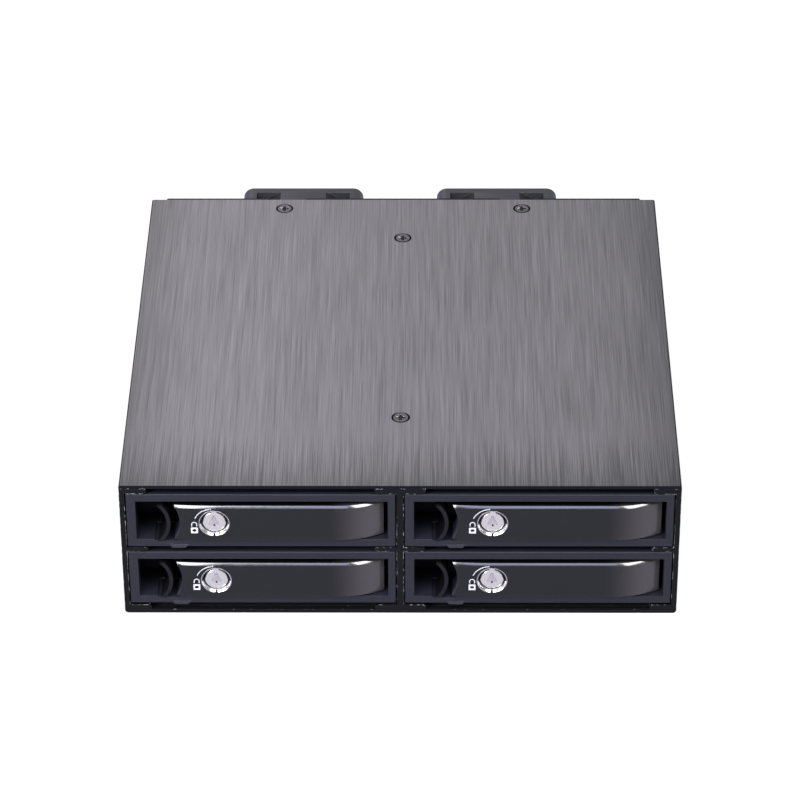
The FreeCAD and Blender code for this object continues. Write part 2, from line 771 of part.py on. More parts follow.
# -------------------------------------------------------------------- fans
def make_fan_frame(name, centre):
    """Square fan housing: two flanges, a drum between them, four corner
    bosses, and a motor base on struts at the outlet."""
    body = new_body(name, x=centre, z=D + "fan_height")
    half, flange = f"{D}fan_size / 2", D + "fan_flange"
    back = f"{PANEL_BACK} + {D}fan_depth"
    square = box_loop(negative(half), negative(half), half, half)
    drum = f"{D}fan_drum / 2"
    flat = f"sqrt(pow({drum}; 2) - pow({half}; 2))"
    clipped = [
        (negative(half), negative(flat)), (negative(flat), negative(half)),
        (flat, negative(half)), (half, negative(flat)),
        (half, flat), (flat, half), (negative(flat), half), (negative(half), flat)]
    clipped = [point + ((drum, 1) if index % 2 == 0 else ())
               for index, point in enumerate(clipped)]
    boss = f"{half} - {D}fan_boss"
    corners = [box_loop(*[sides[index] for index in order])
               for sides in [(boss, half, negative(half), negative(boss))]
               for order in ((2, 2, 3, 3), (0, 2, 1, 3), (0, 0, 1, 1), (2, 0, 3, 1))]
    add(body, "XZ", [square], PANEL_BACK, f"{PANEL_BACK} + {flange}")
    add(body, "XZ", [clipped], f"{PANEL_BACK} + {flange}", f"{back} - {flange}")
    add(body, "XZ", corners, f"{PANEL_BACK} + {flange}", f"{back} - {flange}")
    add(body, "XZ", [square], f"{back} - {flange}", back)
    cut(body, "XZ", [Round("0", "0", D + "fan_bore")], PANEL_BACK, back)
    base = f"{back} - {D}fan_base"
    strut, reach = f"{D}fan_strut / 2", f"{D}fan_bore / 2 + {D}fan_strut / 2"
    add(body, "XZ", [Round("0", "0", D + "fan_hub")], base, back)
    add(body, "XZ", [box_loop(negative(reach), negative(strut), reach, strut)],
        base, back)
    add(body, "XZ", [box_loop(negative(strut), negative(reach), strut, reach)],
        base, back)
    add(body, "XZ", [Round("0", "0", D + "shaft_size")],
        f"{base} - {D}shaft_length", base)
    soften(body, "Fillet", D + "fan_corner", either(*[
        straight_at(x=across, z=up) for across in (half, negative(half))
        for up in (half, negative(half))]))


def make_fan_rotor(name, centre):
    """Cup-shaped hub on the shaft, with a ring of pitched blades."""
    body = new_body(name, x=centre, z=D + "fan_height")
    base = f"{PANEL_BACK} + {D}fan_depth - {D}fan_base"
    front = f"{base} - {D}shaft_length - {D}rotor_gap - {D}rotor_wall / 2"
    back = f"{base} - {D}rotor_gap"
    floor = f"{front} + {D}rotor_wall"
    bearing = f"{D}shaft_size + 2 * {D}running_gap"
    add(body, "XZ", [Round("0", "0", D + "fan_hub")], front, back)
    cut(body, "XZ", [Round("0", "0", f"{D}fan_hub - 2 * {D}rotor_wall")], floor, back)
    add(body, "XZ", [Round("0", "0", f"{bearing} + 2 * {D}rotor_wall")],
        floor, f"{back} - {D}rotor_gap")
    cut(body, "XZ", [Round("0", "0", bearing)],
        f"{floor} - {D}rotor_wall / 2", f"{back} - {D}rotor_gap")
    sweep, thick = f"{D}blade_sweep / 2", D + "blade_thickness"
    inlet, outlet = f"{front} + {D}rotor_gap", f"{back} - {D}rotor_gap"
    blade = [(negative(sweep), inlet), (f"{thick} - {sweep}", inlet),
             (sweep, outlet), (f"{sweep} - {thick}", outlet)]
    vane = add(body, "XY", [blade], D + "blade_root", D + "blade_tip")
    ring = body.newObject("PartDesign::PolarPattern", name + "_ring")
    ring.Originals = [vane]
    axis = [item for item in body.Origin.OriginFeatures if item.Role == "Y_Axis"][0]
    ring.Axis = (axis, [""])
    ring.Angle = 360
    ring.setExpression("Occurrences", D + "blade_count")
    body.Tip = ring


# ------------------------------------------------------------------- trays
def guide_outline():
    """Cross-section of the light guide under a bezel."""
    wide, narrow = f"{D}guide_top_width / 2", f"{D}guide_bottom_width / 2"
    middle, drop = D + "guide_middle", negative(D + "guide_drop")
    return [(f"{middle} - {narrow}", drop), (f"{middle} + {narrow}", drop),
            (f"{middle} + {wide}", D + "guide_rise"),
            (f"{middle} - {wide}", D + "guide_rise")]


class Tray:
    """One drive tray: its pieces are drawn from the lower left front corner
    of the bezel and placed in one bay."""

    def __init__(self, name, x, z):
        self.name = name
        self.spot = {"x": f"{x} - {D}tray_width / 2", "y": FRONT, "z": z}

    def body(self, piece):
        return new_body(f"{self.name}_{piece}", **self.spot)

    def make_pan(self):
        """Flat steel pan under the drive, with its four screw holes."""
        body = self.body("pan")
        wide, front, end = D + "tray_width", D + "pan_front", D + "pan_end"
        slant = D + "pan_chamfer"
        outline = [("0", front), (wide, front), (wide, f"{end} - {slant}"),
                   (f"{wide} - {slant}", end), (slant, end),
                   ("0", f"{end} - {slant}")]
        top = D + "pan_thickness"
        add(body, "XY", [outline], "0", top)
        holes = [Round(f"{wide} / 2 {sign} {D}drive_hole_across / 2",
                       f"{D}drive_hole_front + {along}", D + "drive_hole")
                 for sign in "-+" for along in ("0", D + "drive_hole_along")]
        cut(body, "XY", holes + self.vents(), "0", top)

    def vents(self):
        """A row of long air slots along the middle of the pan."""
        loops = []
        centre = f"{D}vent_front + {D}vent_length / 2"
        for index in range(int(size("vent_count"))):
            step = f"({index} - ({D}vent_count - 1) / 2) * {D}vent_pitch"
            middle = f"{D}tray_width / 2 + {step}"
            loops.append(around((middle, centre), D + "vent_width", D + "vent_length"))
        return loops

    def make_bezel(self):
        """Moulded front: frame, deep pocket, a foot over the pan, the latch's
        guides, the stop of its spring and the rib behind which the cam turns."""
        body = self.body("bezel")
        wide, tall, depth = D + "tray_width", D + "tray_height", D + "pan_front"
        floor = D + "pocket_depth"
        add(body, "XZ", [box_loop("0", "0", wide, tall)], "0", depth)
        soften(body, "Fillet", D + "bezel_edge", either(
            straight_at(y="0", z="0"), straight_at(y="0", z=tall),
            straight_at(x="0", y="0"), straight_at(x=wide, y="0")))
        cut(body, "XZ", [box_loop(D + "window_left", D + "window_low",
                                  WINDOW_END, WINDOW_TOP)], "0", floor)
        inset = D + "foot_inset"
        foot = box_loop(inset, D + "pan_thickness", f"{wide} - {inset}",
                        f"{D}pan_thickness + {D}foot_height")
        add(body, "XZ", [foot], depth, f"{depth} + {D}foot_depth")
        self.add_latch_guides(body)
        self.add_cam_rib(body)
        stop = box_loop(STOP_LEFT, f"{D}lock_height - {D}spring_width / 2 - {D}guide_gap",
                        f"{STOP_LEFT} + {D}stop_thickness",
                        f"{D}lock_height + {D}spring_width / 2 + {D}guide_gap")
        add(body, "XZ", [stop], SLIDER_FRONT, floor)
        notch_end = f"{D}latch_middle + {D}latch_travel + {D}latch_play"
        notch = box_loop(f"{D}latch_middle - {D}latch_radius / 2",
                         f"{D}window_low - {D}notch_depth", notch_end,
                         D + "window_low")
        cut(body, "XZ", [notch], "0", D + "notch_back")
        pin = [Round(HINGE_X, D + "hinge_back", D + "pin_size")]
        cut(body, "XY", pin, f"{D}window_low - {D}pin_seat",
            f"{WINDOW_TOP} + {D}pin_seat")
        cut(body, "XZ", [guide_outline()], "0", D + "guide_depth")

    def add_latch_guides(self, body):
        """Two channels on the pocket's floor that hold the latch's slider."""
        left, right = D + "guide_left", D + "guide_right"
        wall, gap, lip = D + "guide_wall", D + "guide_gap", D + "guide_lip"
        floor = D + "pocket_depth"
        lips_back = f"{SLIDER_FRONT} - {gap}"
        lips_front = f"{lips_back} - {lip}"
        low = (f"{D}slider_low - {gap} - {wall}", f"{D}slider_low - {gap}")
        high = (f"{D}slider_high + {gap}", f"{D}slider_high + {gap} + {wall}")
        add(body, "XZ", [box_loop(left, low[0], right, low[1]),
                         box_loop(left, high[0], right, high[1])], lips_front, floor)
        add(body, "XZ", [box_loop(left, low[0], right, f"{D}slider_low + {lip}"),
                         box_loop(left, f"{D}slider_high - {lip}", right, high[1])],
            lips_front, lips_back)

    def add_cam_rib(self, body):
        """A tab behind the lever that the turned cam hooks behind."""
        left, right = D + "rib_left", f"{D}rib_left + {D}rib_width"
        back = f"{RIB_FRONT} + {D}rib_thickness"
        add(body, "XZ", [box_loop(left, D + "window_low", right, D + "rib_top")],
            RIB_FRONT, back)
        add(body, "XZ", [box_loop(left, D + "window_low", right,
                                  f"{D}window_low + {D}rib_root")],
            back, D + "pocket_depth")

    def make_lever(self):
        """Shell-shaped lever: a flat face that curves back at the hinge end,
        a scooped free end, a catch for the latch and a hole for the lock."""
        body = self.body("lever")
        face, back = negative(D + "lever_proud"), D + "lever_back"
        low, high, left = LEVER_LOW, LEVER_HIGH, D + "lever_left"
        heel = f"{LEVER_END} - {D}lever_heel"
        plan = [(left, face), (D + "lever_flat_end", face, D + "lever_curve", 1),
                (LEVER_END, D + "lever_end_back"), (heel, back), (left, back)]
        add(body, "XY", [plan], low, high)
        front_line = straight_at(y=face, z=high)

        def front_curve(edge):
            return edge.Curve.TypeId == "Part::GeomCircle" and near(
                edge.BoundBox.ZMin, high) and near(edge.BoundBox.ZMax, high)
        soften(body, "Chamfer", D + "lever_bevel", either(front_line, front_curve))
        scoop = self.scoop_diameter()
        middle = f"{left} + {D}lever_hollow - ({scoop}) / 2"
        cut(body, "XZ", [Round(middle, LEVER_MIDDLE, scoop)],
            f"{face} - {D}lever_wall", f"{back} + {D}lever_wall")
        wall = D + "lever_wall"
        inside = box_loop(CATCH_LEFT, f"{low} + {wall}", D + "lever_block",
                          f"{high} - {wall}")
        cut(body, "XZ", [inside], f"{face} + {D}lever_face", back)
        catch = box_loop(f"{CATCH_LEFT} - {wall} / 2", POST_LOW, CATCH_RIGHT,
                         D + "slider_high")
        add(body, "XZ", [catch], CATCH_FRONT, back)
        cut(body, "XZ", [Round(D + "lock_in", D + "lock_height", D + "lock_sleeve")],
            face, f"{face} + {D}lever_face")
        pin = f"{D}pin_size + 2 * {D}running_gap"
        cut(body, "XY", [Round(HINGE_X, D + "hinge_back", pin)], low, high)

    def scoop_diameter(self):
        """Circle through both corners of the free end and its hollow."""
        half, hollow = f"(({LEVER_HIGH}) - ({LEVER_LOW})) / 2", D + "lever_hollow"
        return f"(pow({half}; 2) + pow({hollow}; 2)) / {hollow}"

    def make_hinge_pin(self):
        name = self.name + "_hinge_pin"
        pin = doc.addObject("Part::Cylinder", name)
        pin.Label = name
        seat = D + "pin_seat"
        pin.setExpression("Radius", D + "pin_size / 2")
        pin.setExpression("Height", f"{WINDOW_TOP} - {D}window_low + 2 * {seat}")
        place(pin, f"{self.spot['x']} + {HINGE_X}", f"{FRONT} + {D}hinge_back",
              f"{self.spot['z']} + {D}window_low - {seat}")
        sub_parts.append(pin)

    def make_lock_housing(self):
        """Ring on the lever's face, with the sleeve in which the barrel turns."""
        body = self.body("lock_housing")
        axis = (D + "lock_in", D + "lock_height")
        face = negative(D + "lever_proud")
        front = f"{face} - {D}lock_ring_proud"
        back = f"{face} + {D}lock_sleeve_depth"
        bore = f"{D}barrel_size + 2 * {D}barrel_gap"
        add(body, "XZ", [Round(*axis, D + "lock_ring")], front, face)
        add(body, "XZ", [Round(*axis, D + "lock_sleeve")], face, back)
        cut(body, "XZ", [Round(*axis, bore)], front, back)

    def make_lock_barrel(self):
        """Barrel with a keyway in front and a cam behind, which points up."""
        body = self.body("lock_barrel")
        across, up = D + "lock_in", D + "lock_height"
        front = f"{CAM_FRONT} - {D}barrel_length"
        add(body, "XZ", [Round(across, up, D + "barrel_size")], front, CAM_FRONT)
        radius = f"{D}cam_width / 2"
        tip = f"{up} + {D}cam_length - {radius}"
        left, right = f"{across} - {radius}", f"{across} + {radius}"
        cam = [(left, up, 1), (right, up), (right, tip, 1), (left, tip)]
        add(body, "XZ", [cam], CAM_FRONT, f"{CAM_FRONT} + {D}cam_thickness")
        keyway = around((across, up), D + "keyway_width", D + "keyway_height")
        cut(body, "XZ", [keyway], front, f"{front} + {D}keyway_depth")

    def make_latch(self):
        """Crescent finger tab on a slider, with a post and a tongue that
        stands in front of the lever's catch."""
        body = self.body("latch")
        low, high, radius = D + "latch_low", D + "latch_high", D + "latch_radius"
        half = f"({high} - {low}) / 2"
        inner = f"({radius} - {D}latch_thickness)"
        centre = f"{D}latch_middle - {radius}"
        outer_end = f"{centre} + sqrt(pow({radius}; 2) - pow({half}; 2))"
        inner_end = f"{centre} + sqrt(pow({inner}; 2) - pow({half}; 2))"
        crescent = [(outer_end, low, radius, 1), (outer_end, high),
                    (inner_end, high, inner, -1), (inner_end, low)]
        add(body, "XZ", [crescent], negative(D + "latch_proud"), D + "latch_depth")
        right = f"{D}latch_middle - {D}slider_gap"
        left = f"{right} - {D}neck_width"
        add(body, "XZ", [box_loop(left, D + "neck_low", right, D + "neck_high")],
            f"{D}latch_depth - {D}slider_gap", SLIDER_FRONT)
        add(body, "XZ", [box_loop(left, D + "slider_low", SLIDER_RIGHT,
                                  D + "slider_high")], SLIDER_FRONT, SLIDER_BACK)
        add(body, "XZ", [box_loop(POST_LEFT, POST_LOW, SLIDER_RIGHT,
                                  D + "slider_high")], TONGUE_FRONT, SLIDER_FRONT)
        add(body, "XZ", [box_loop(TONGUE_LEFT, POST_LOW, POST_LEFT,
                                  D + "slider_high")],
            TONGUE_FRONT, f"{TONGUE_FRONT} + {D}tongue_depth")

    def make_latch_spring(self):
        """Bent leaf between the slider's end and the stop."""
        body = self.body("latch_spring")
        leaf = D + "spring_leaf"
        left, right = SLIDER_RIGHT, STOP_LEFT
        middle = f"({left} + {right}) / 2"
        back, front = SLIDER_BACK, SLIDER_FRONT
        plan = [(left, back), (left, front), (f"{left} + {leaf}", front),
                (f"{middle} - {leaf} / 2", f"{back} - {leaf}"),
                (f"{middle} + {leaf} / 2", f"{back} - {leaf}"),
                (f"{right} - {leaf}", front), (right, front), (right, back),
                (f"{right} - {leaf}", back), (f"{right} - {leaf}", f"{front} + 2 * {leaf}"),
                (f"{middle} + {leaf}", back), (f"{middle} - {leaf}", back),
                (f"{left} + {leaf}", f"{front} + 2 * {leaf}"), (f"{left} + {leaf}", back)]
        add(body, "XY", [plan], f"{D}lock_height - {D}spring_width / 2",
            f"{D}lock_height + {D}spring_width / 2")

    def make_light_guide(self):
        """Clear wedge under the bezel that shows the bay's light."""
        body = self.body("light_guide")
        add(body, "XZ", [guide_outline()], "0", D + "guide_depth")

    def make_all(self):
        self.make_pan()
        self.make_bezel()
        self.make_lever()
        self.make_hinge_pin()
        self.make_lock_housing()
        self.make_lock_barrel()
        self.make_latch()
        self.make_latch_spring()
        self.make_light_guide()


def make_trays():
    columns = {"left": negative(D + "column_pitch / 2"), "right": D + "column_pitch / 2"}
    rows = {"lower": D + "first_row", "upper": SECOND_ROW}
    for row_name, z in rows.items():
        for column_name, x in columns.items():
            Tray(f"{row_name}_{column_name}", x, z).make_all()


def make_cage():
    make_chassis_base()
    make_top_cover()
    make_cover_screws()
    make_front_plate()
    make_center_divider()
    make_guide_rails("left_guide_rails", -1)
    make_guide_rails("right_guide_rails", 1)
    make_rear_panel()
    make_backplane_board()
    make_board_standoffs()
    make_drive_sockets()
    data, supply = port_centres()
    make_ports("data_ports", data, D + "data_port_height")
    make_ports("power_ports", supply, D + "power_port_height")
    for side, centre in zip(("left", "right"), fan_centres()):
        make_fan_frame(side + "_fan_frame", centre)
        make_fan_rotor(side + "_fan_rotor", centre)


def check_document():
    """Stop if any object failed, or a sub-part is empty or not valid."""
    failed = [item.Name for item in doc.Objects
              if "Invalid" in item.State or "Error" in item.State]
    if failed:
        raise RuntimeError("failed objects: " + ", ".join(failed))
    for item in sub_parts:
        if item.Shape.isNull() or not item.Shape.isValid() or not item.Shape.Solids:
            raise RuntimeError("bad shape: " + item.Label)


def write_parts():
    os.makedirs("parts", exist_ok=True)
    for item in sub_parts:
        item.Shape.exportStep(os.path.join("parts", item.Label + ".step"))


make_cage()
make_trays()
doc.recompute()
check_document()
write_parts()
print(f"{len(sub_parts)} sub-parts written")
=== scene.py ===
"""Looks of a hot swap drive cage: four locked trays in a brushed metal case.

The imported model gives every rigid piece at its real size. This script dresses
those pieces and adds what only the eye needs: the levers' glossy shells, the
locks' rings and keyways, white marks, recessed screw heads, rounded edges, the
floor, the lamps and the camera. Lengths are millimetres until MM turns them
into metres; the studio's are metres from the start.
"""
import json
import logging
import math
from collections.abc import Iterator
from dataclasses import dataclass, field
from enum import Enum

import bmesh
import bpy
import numpy as np
from mathutils import Matrix, Vector


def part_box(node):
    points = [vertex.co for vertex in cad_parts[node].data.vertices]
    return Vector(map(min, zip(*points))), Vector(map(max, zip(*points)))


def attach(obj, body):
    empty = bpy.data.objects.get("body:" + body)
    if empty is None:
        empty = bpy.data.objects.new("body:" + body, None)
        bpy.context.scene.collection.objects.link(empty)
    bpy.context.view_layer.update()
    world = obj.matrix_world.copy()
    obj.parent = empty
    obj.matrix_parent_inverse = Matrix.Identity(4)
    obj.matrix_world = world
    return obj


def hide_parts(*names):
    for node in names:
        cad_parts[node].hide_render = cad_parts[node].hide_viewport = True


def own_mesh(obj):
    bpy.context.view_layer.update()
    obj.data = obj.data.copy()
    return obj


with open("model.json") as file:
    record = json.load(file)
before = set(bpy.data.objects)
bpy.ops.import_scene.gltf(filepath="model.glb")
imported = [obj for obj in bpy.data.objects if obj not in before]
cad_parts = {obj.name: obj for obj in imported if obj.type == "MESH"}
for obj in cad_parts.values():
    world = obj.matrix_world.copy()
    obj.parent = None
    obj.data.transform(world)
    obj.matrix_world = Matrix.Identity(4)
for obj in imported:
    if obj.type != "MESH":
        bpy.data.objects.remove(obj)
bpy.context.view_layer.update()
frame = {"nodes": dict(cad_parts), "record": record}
MM = 0.001
LOG = logging.getLogger("drive_cage")

WHITE = (1.0, 1.0, 1.0, 1.0)
# what a noise texture mostly spans, and the part of it that a tint uses
NOISE_LOW, NOISE_HIGH = 0.3, 0.7
TINT_LOW, TINT_HIGH = 0.32, 0.68
# cosines between which a surface counts as turned away from a flat face
FLAT_ON, TURNED_AWAY = 0.97, 0.9
# a Mix node's two colour inputs and its colour output
MIX_LOW, MIX_HIGH, MIX_RESULT = 6, 7, 2
COAT_ROUGHNESS = 0.04
# how deep the grain of a finish is against its width
GRAIN_DEPTH = 0.2
CUTTER_STEPS = 64
# metres: points nearer than these are one, in this script's meshes and the CAD's
SAME_POINT, SAME_CAD_POINT = 1e-7, 2e-6
# degrees: facets flatter than the first are joined before a CAD node's edges
# are rounded, and edges sharper than the second are rounded
FLAT_TURN, SHARP_TURN = 1.0, 30.0


class Bay(Enum):
    """The four bays, by row and column."""

    LOWER_LEFT = "lower_left"
    LOWER_RIGHT = "lower_right"
    UPPER_LEFT = "upper_left"
    UPPER_RIGHT = "upper_right"


class Head(Enum):
    """Kinds of screw head."""

    FLUSH = "flush"
    PAN = "pan"


# --------------------------------------------------------------- materials
def linear(code: str) -> tuple[float, float, float, float]:
    """Turn an sRGB hex colour into linear values.

    Args:
        code: six hex digits, such as "8b898e".

    Returns:
        Linear red, green and blue, and a full alpha.
    """
    channels = [int(code[place:place + 2], 16) / 255.0 for place in (0, 2, 4)]
    return (*[c / 12.92 if c <= 0.04045 else ((c + 0.055) / 1.055) ** 2.4
              for c in channels], 1.0)


def add_node(tree: bpy.types.NodeTree, kind: str, settings: dict | None = None,
             inputs: dict | None = None) -> bpy.types.Node:
    """Add a shader node with its settings, values and links.

    Args:
        tree: the material's node tree.
        kind: the node's type name, without the ShaderNode prefix.
        settings: attributes to set on the node.
        inputs: input name or number to a value or to another node's output.

    Returns:
        The new node.
    """
    node = tree.nodes.new("ShaderNode" + kind)
    for name, setting in (settings or {}).items():
        setattr(node, name, setting)
    for key, source in (inputs or {}).items():
        if isinstance(source, bpy.types.NodeSocket):
            tree.links.new(source, node.inputs[key])
        else:
            node.inputs[key].default_value = source
    return node


@dataclass
class Canvas:
    """A material while it is painted: its node tree, its Principled node and
    the object coordinates that each pattern starts from."""

    tree: bpy.types.NodeTree
    shader: bpy.types.Node
    place: bpy.types.NodeSocket

    @property
    def colour(self) -> bpy.types.NodeSocket:
        """What feeds the base colour so far."""
        return self.shader.inputs["Base Color"].links[0].from_socket

    def feed(self, name: str, source: bpy.types.NodeSocket) -> None:
        """Link an output to one of the Principled node's inputs."""
        self.tree.links.new(source, self.shader.inputs[name])

    def blend(self, factor: bpy.types.NodeSocket, low: object, high: object) -> None:
        """Let the base colour go from one colour to another.

        Args:
            factor: 0 where the first shows, 1 where the second does.
            low: the first colour, or the output that gives it.
            high: the second.
        """
        mix = add_node(self.tree, "Mix", {"data_type": "RGBA"}, {
            "Factor": factor, MIX_LOW: low, MIX_HIGH: high})
        self.feed("Base Color", mix.outputs[MIX_RESULT])


@dataclass(frozen=True)
class Finish:
    """A finish whose colour and roughness vary a little over the surface."""

    name: str
    colour: str
    roughness: float
    metallic: float = 0.0
    ior: float = 1.5
    mottle: float = 0.06
    grain_mm: float = 0.5
    bump: float = 0.0
    coat: float = 0.0
    gloss_swing: float = 0.12

    def build(self) -> bpy.types.Material:
        """Make the material. Returns it, ready to assign."""
        material = bpy.data.materials.new(self.name)
        material.use_nodes = True
        tree = material.node_tree
        shader = tree.nodes["Principled BSDF"]
        shader.inputs["Metallic"].default_value = self.metallic
        if self.metallic < 1.0:
            shader.inputs["IOR"].default_value = self.ior
        shader.inputs["Coat Weight"].default_value = self.coat
        shader.inputs["Coat Roughness"].default_value = COAT_ROUGHNESS
        self.decorate(Canvas(tree, shader, add_node(tree, "TexCoord").outputs["Object"]))
        return material

    def decorate(self, canvas: Canvas) -> None:
        """Add the pattern: fine grain in the colour, the gloss and the bump.

        Args:
            canvas: the material to paint.
        """
        grain = add_node(canvas.tree, "TexNoise", inputs={
            "Vector": canvas.place, "Scale": 1.0 / (self.grain_mm * MM),
            "Detail": 3.0}).outputs["Fac"]
        self.tint(canvas, grain)
        self.roughen(canvas, grain, self.grain_mm * GRAIN_DEPTH)

    def tint(self, canvas: Canvas, pattern: bpy.types.NodeSocket) -> None:
        """Let the base colour follow a pattern between a darker and a lighter
        shade of the finish.

        Args:
            canvas: the material to paint.
            pattern: noise that drives the shade.
        """
        base = linear(self.colour)[:3]
        dark = tuple(c * (1.0 - self.mottle) for c in base) + (1.0,)
        light = tuple(min(c * (1.0 + self.mottle), 1.0) for c in base) + (1.0,)
        ramp = add_node(canvas.tree, "MapRange", inputs={
            "Value": pattern, "From Min": TINT_LOW, "From Max": TINT_HIGH})
        canvas.blend(ramp.outputs["Result"], dark, light)

    def roughen(self, canvas: Canvas, pattern: bpy.types.NodeSocket,
                depth_mm: float) -> None:
        """Let the roughness follow a pattern, and the bump where there is one.

        Args:
            canvas: the material to paint.
            pattern: noise that drives both.
            depth_mm: how deep the bump reaches.
        """
        rough = add_node(canvas.tree, "MapRange", inputs={
            "Value": pattern, "From Min": NOISE_LOW, "From Max": NOISE_HIGH,
            "To Min": self.roughness * (1.0 - self.gloss_swing),
            "To Max": self.roughness * (1.0 + self.gloss_swing)})
        canvas.feed("Roughness", rough.outputs["Result"])
        if self.bump:
            relief = add_node(canvas.tree, "Bump", inputs={
                "Height": pattern, "Strength": self.bump, "Distance": depth_mm * MM})
            canvas.feed("Normal", relief.outputs["Normal"])


@dataclass(frozen=True)
class BrushedAluminium(Finish):
    """Sheet drawn past an abrasive belt, then anodised: long fine scratches
    run from front to back, deeper where the belt started. Painted shade
    darkens the long edges, the front and every face turned from the top."""

    gloss_swing: float = 0.1
    streak_mm: float = 0.16
    band_mm: float = 0.9
    band_swing: float = 0.09
    length_mm: float = 26.0
    band_length_mm: float = 57.2
    scratch_mm: float = 0.02
    # colour of painted shade on every face turned away from the top
    edge: str = "2a2a30"
    half_width_mm: float = 73.0
    side_shade: float = 0.36
    side_power: float = 7.0
    front_mm: float = -76.6
    front_reach_mm: float = 24.0
    front_power: float = 1.5
    front_shade: float = 0.34
    front_depth: float = 3.0

    def decorate(self, canvas: Canvas) -> None:
        """Add two widths of long streaks, and painted shade on the edges and front.

        Args:
            canvas: the material to paint.
        """
        tree = canvas.tree
        fine = self.streaks(canvas, self.streak_mm, self.length_mm)
        broad = add_node(tree, "MapRange", inputs={
            "Value": self.streaks(canvas, self.band_mm, self.band_length_mm),
            "From Min": NOISE_LOW, "From Max": NOISE_HIGH,
            "To Min": -self.band_swing, "To Max": self.band_swing})
        total = add_node(tree, "Math", {"operation": "ADD"}, {
            0: fine, 1: broad.outputs["Result"]})
        axes = add_node(tree, "SeparateXYZ", inputs={"Vector": canvas.place})
        ahead = self.near_front(tree, axes.outputs["Y"])
        depth = add_node(tree, "MapRange", inputs={
            "Value": ahead, "To Min": 1.0, "To Max": self.front_depth})
        swing = add_node(tree, "Math", {"operation": "SUBTRACT"}, {
            0: total.outputs["Value"], 1: 0.5})
        deeper = add_node(tree, "Math", {"operation": "MULTIPLY_ADD"}, {
            0: swing.outputs["Value"], 1: depth.outputs["Result"], 2: 0.5})
        self.tint(canvas, deeper.outputs["Value"])
        # painted shade: darker towards both long edges and the front edge
        self.fade(canvas, axes.outputs["X"], ahead)
        # painted shade: faces turned away from the top take the dark edge colour
        face = add_node(tree, "SeparateXYZ", inputs={
            "Vector": add_node(tree, "TexCoord").outputs["Normal"]})
        cut = add_node(tree, "MapRange", inputs={
            "Value": face.outputs["Z"], "From Min": FLAT_ON, "From Max": TURNED_AWAY})
        canvas.blend(cut.outputs["Result"], canvas.colour, linear(self.edge))
        self.roughen(canvas, fine, self.scratch_mm)

    def near_front(self, tree: bpy.types.NodeTree, depth: bpy.types.NodeSocket
                   ) -> bpy.types.NodeSocket:
        """How near a point is to the front edge.

        Args:
            tree: the material's node tree.
            depth: the point's place from front to back.

        Returns:
            1 at the front edge, falling to 0 where the front's reach ends.
        """
        share = add_node(tree, "MapRange", inputs={
            "Value": depth, "From Min": (self.front_mm + self.front_reach_mm) * MM,
            "From Max": self.front_mm * MM})
        return add_node(tree, "Math", {"operation": "POWER"}, {
            0: share.outputs["Result"], 1: self.front_power}).outputs["Value"]

    def fade(self, canvas: Canvas, across: bpy.types.NodeSocket,
             ahead: bpy.types.NodeSocket) -> None:
        """Darken the colour towards both long edges and the front edge, as
        painted shade.

        Args:
            canvas: the material to paint.
            across: the point's place from left to right.
            ahead: how near it is to the front edge.
        """
        tree = canvas.tree
        size = add_node(tree, "Math", {"operation": "ABSOLUTE"}, {0: across})
        share = add_node(tree, "Math", {"operation": "DIVIDE"}, {
            0: size.outputs["Value"], 1: self.half_width_mm * MM})
        steep = add_node(tree, "Math", {"operation": "POWER"}, {
            0: share.outputs["Value"], 1: self.side_power})
        sides = add_node(tree, "Math", {"operation": "MULTIPLY_ADD"}, {
            0: steep.outputs["Value"], 1: -self.side_shade, 2: 1.0})
        front = add_node(tree, "Math", {"operation": "MULTIPLY_ADD"}, {
            0: ahead, 1: -self.front_shade, 2: 1.0})
        both = add_node(tree, "Math", {"operation": "MULTIPLY"}, {
            0: sides.outputs["Value"], 1: front.outputs["Value"]})
        dimmed = add_node(tree, "VectorMath", {"operation": "SCALE"}, {
            0: canvas.colour, "Scale": both.outputs["Value"]})
        canvas.feed("Base Color", dimmed.outputs["Vector"])

    def streaks(self, canvas: Canvas, width: float, length: float
                ) -> bpy.types.NodeSocket:
        """Noise drawn out from front to back.

        Args:
            canvas: the material to paint.
            width: a streak's width in millimetres.
            length: its length in millimetres.

        Returns:
            The noise.
        """
        stretch = add_node(canvas.tree, "Mapping", inputs={
            "Vector": canvas.place, "Scale": (1.0 / (width * MM), 1.0 / (length * MM),
                                              1.0 / (width * MM))})
        noise = add_node(canvas.tree, "TexNoise", inputs={
            "Vector": stretch.outputs["Vector"], "Scale": 1.0, "Detail": 4.0,
            "Roughness": 0.62})
        return noise.outputs["Fac"]


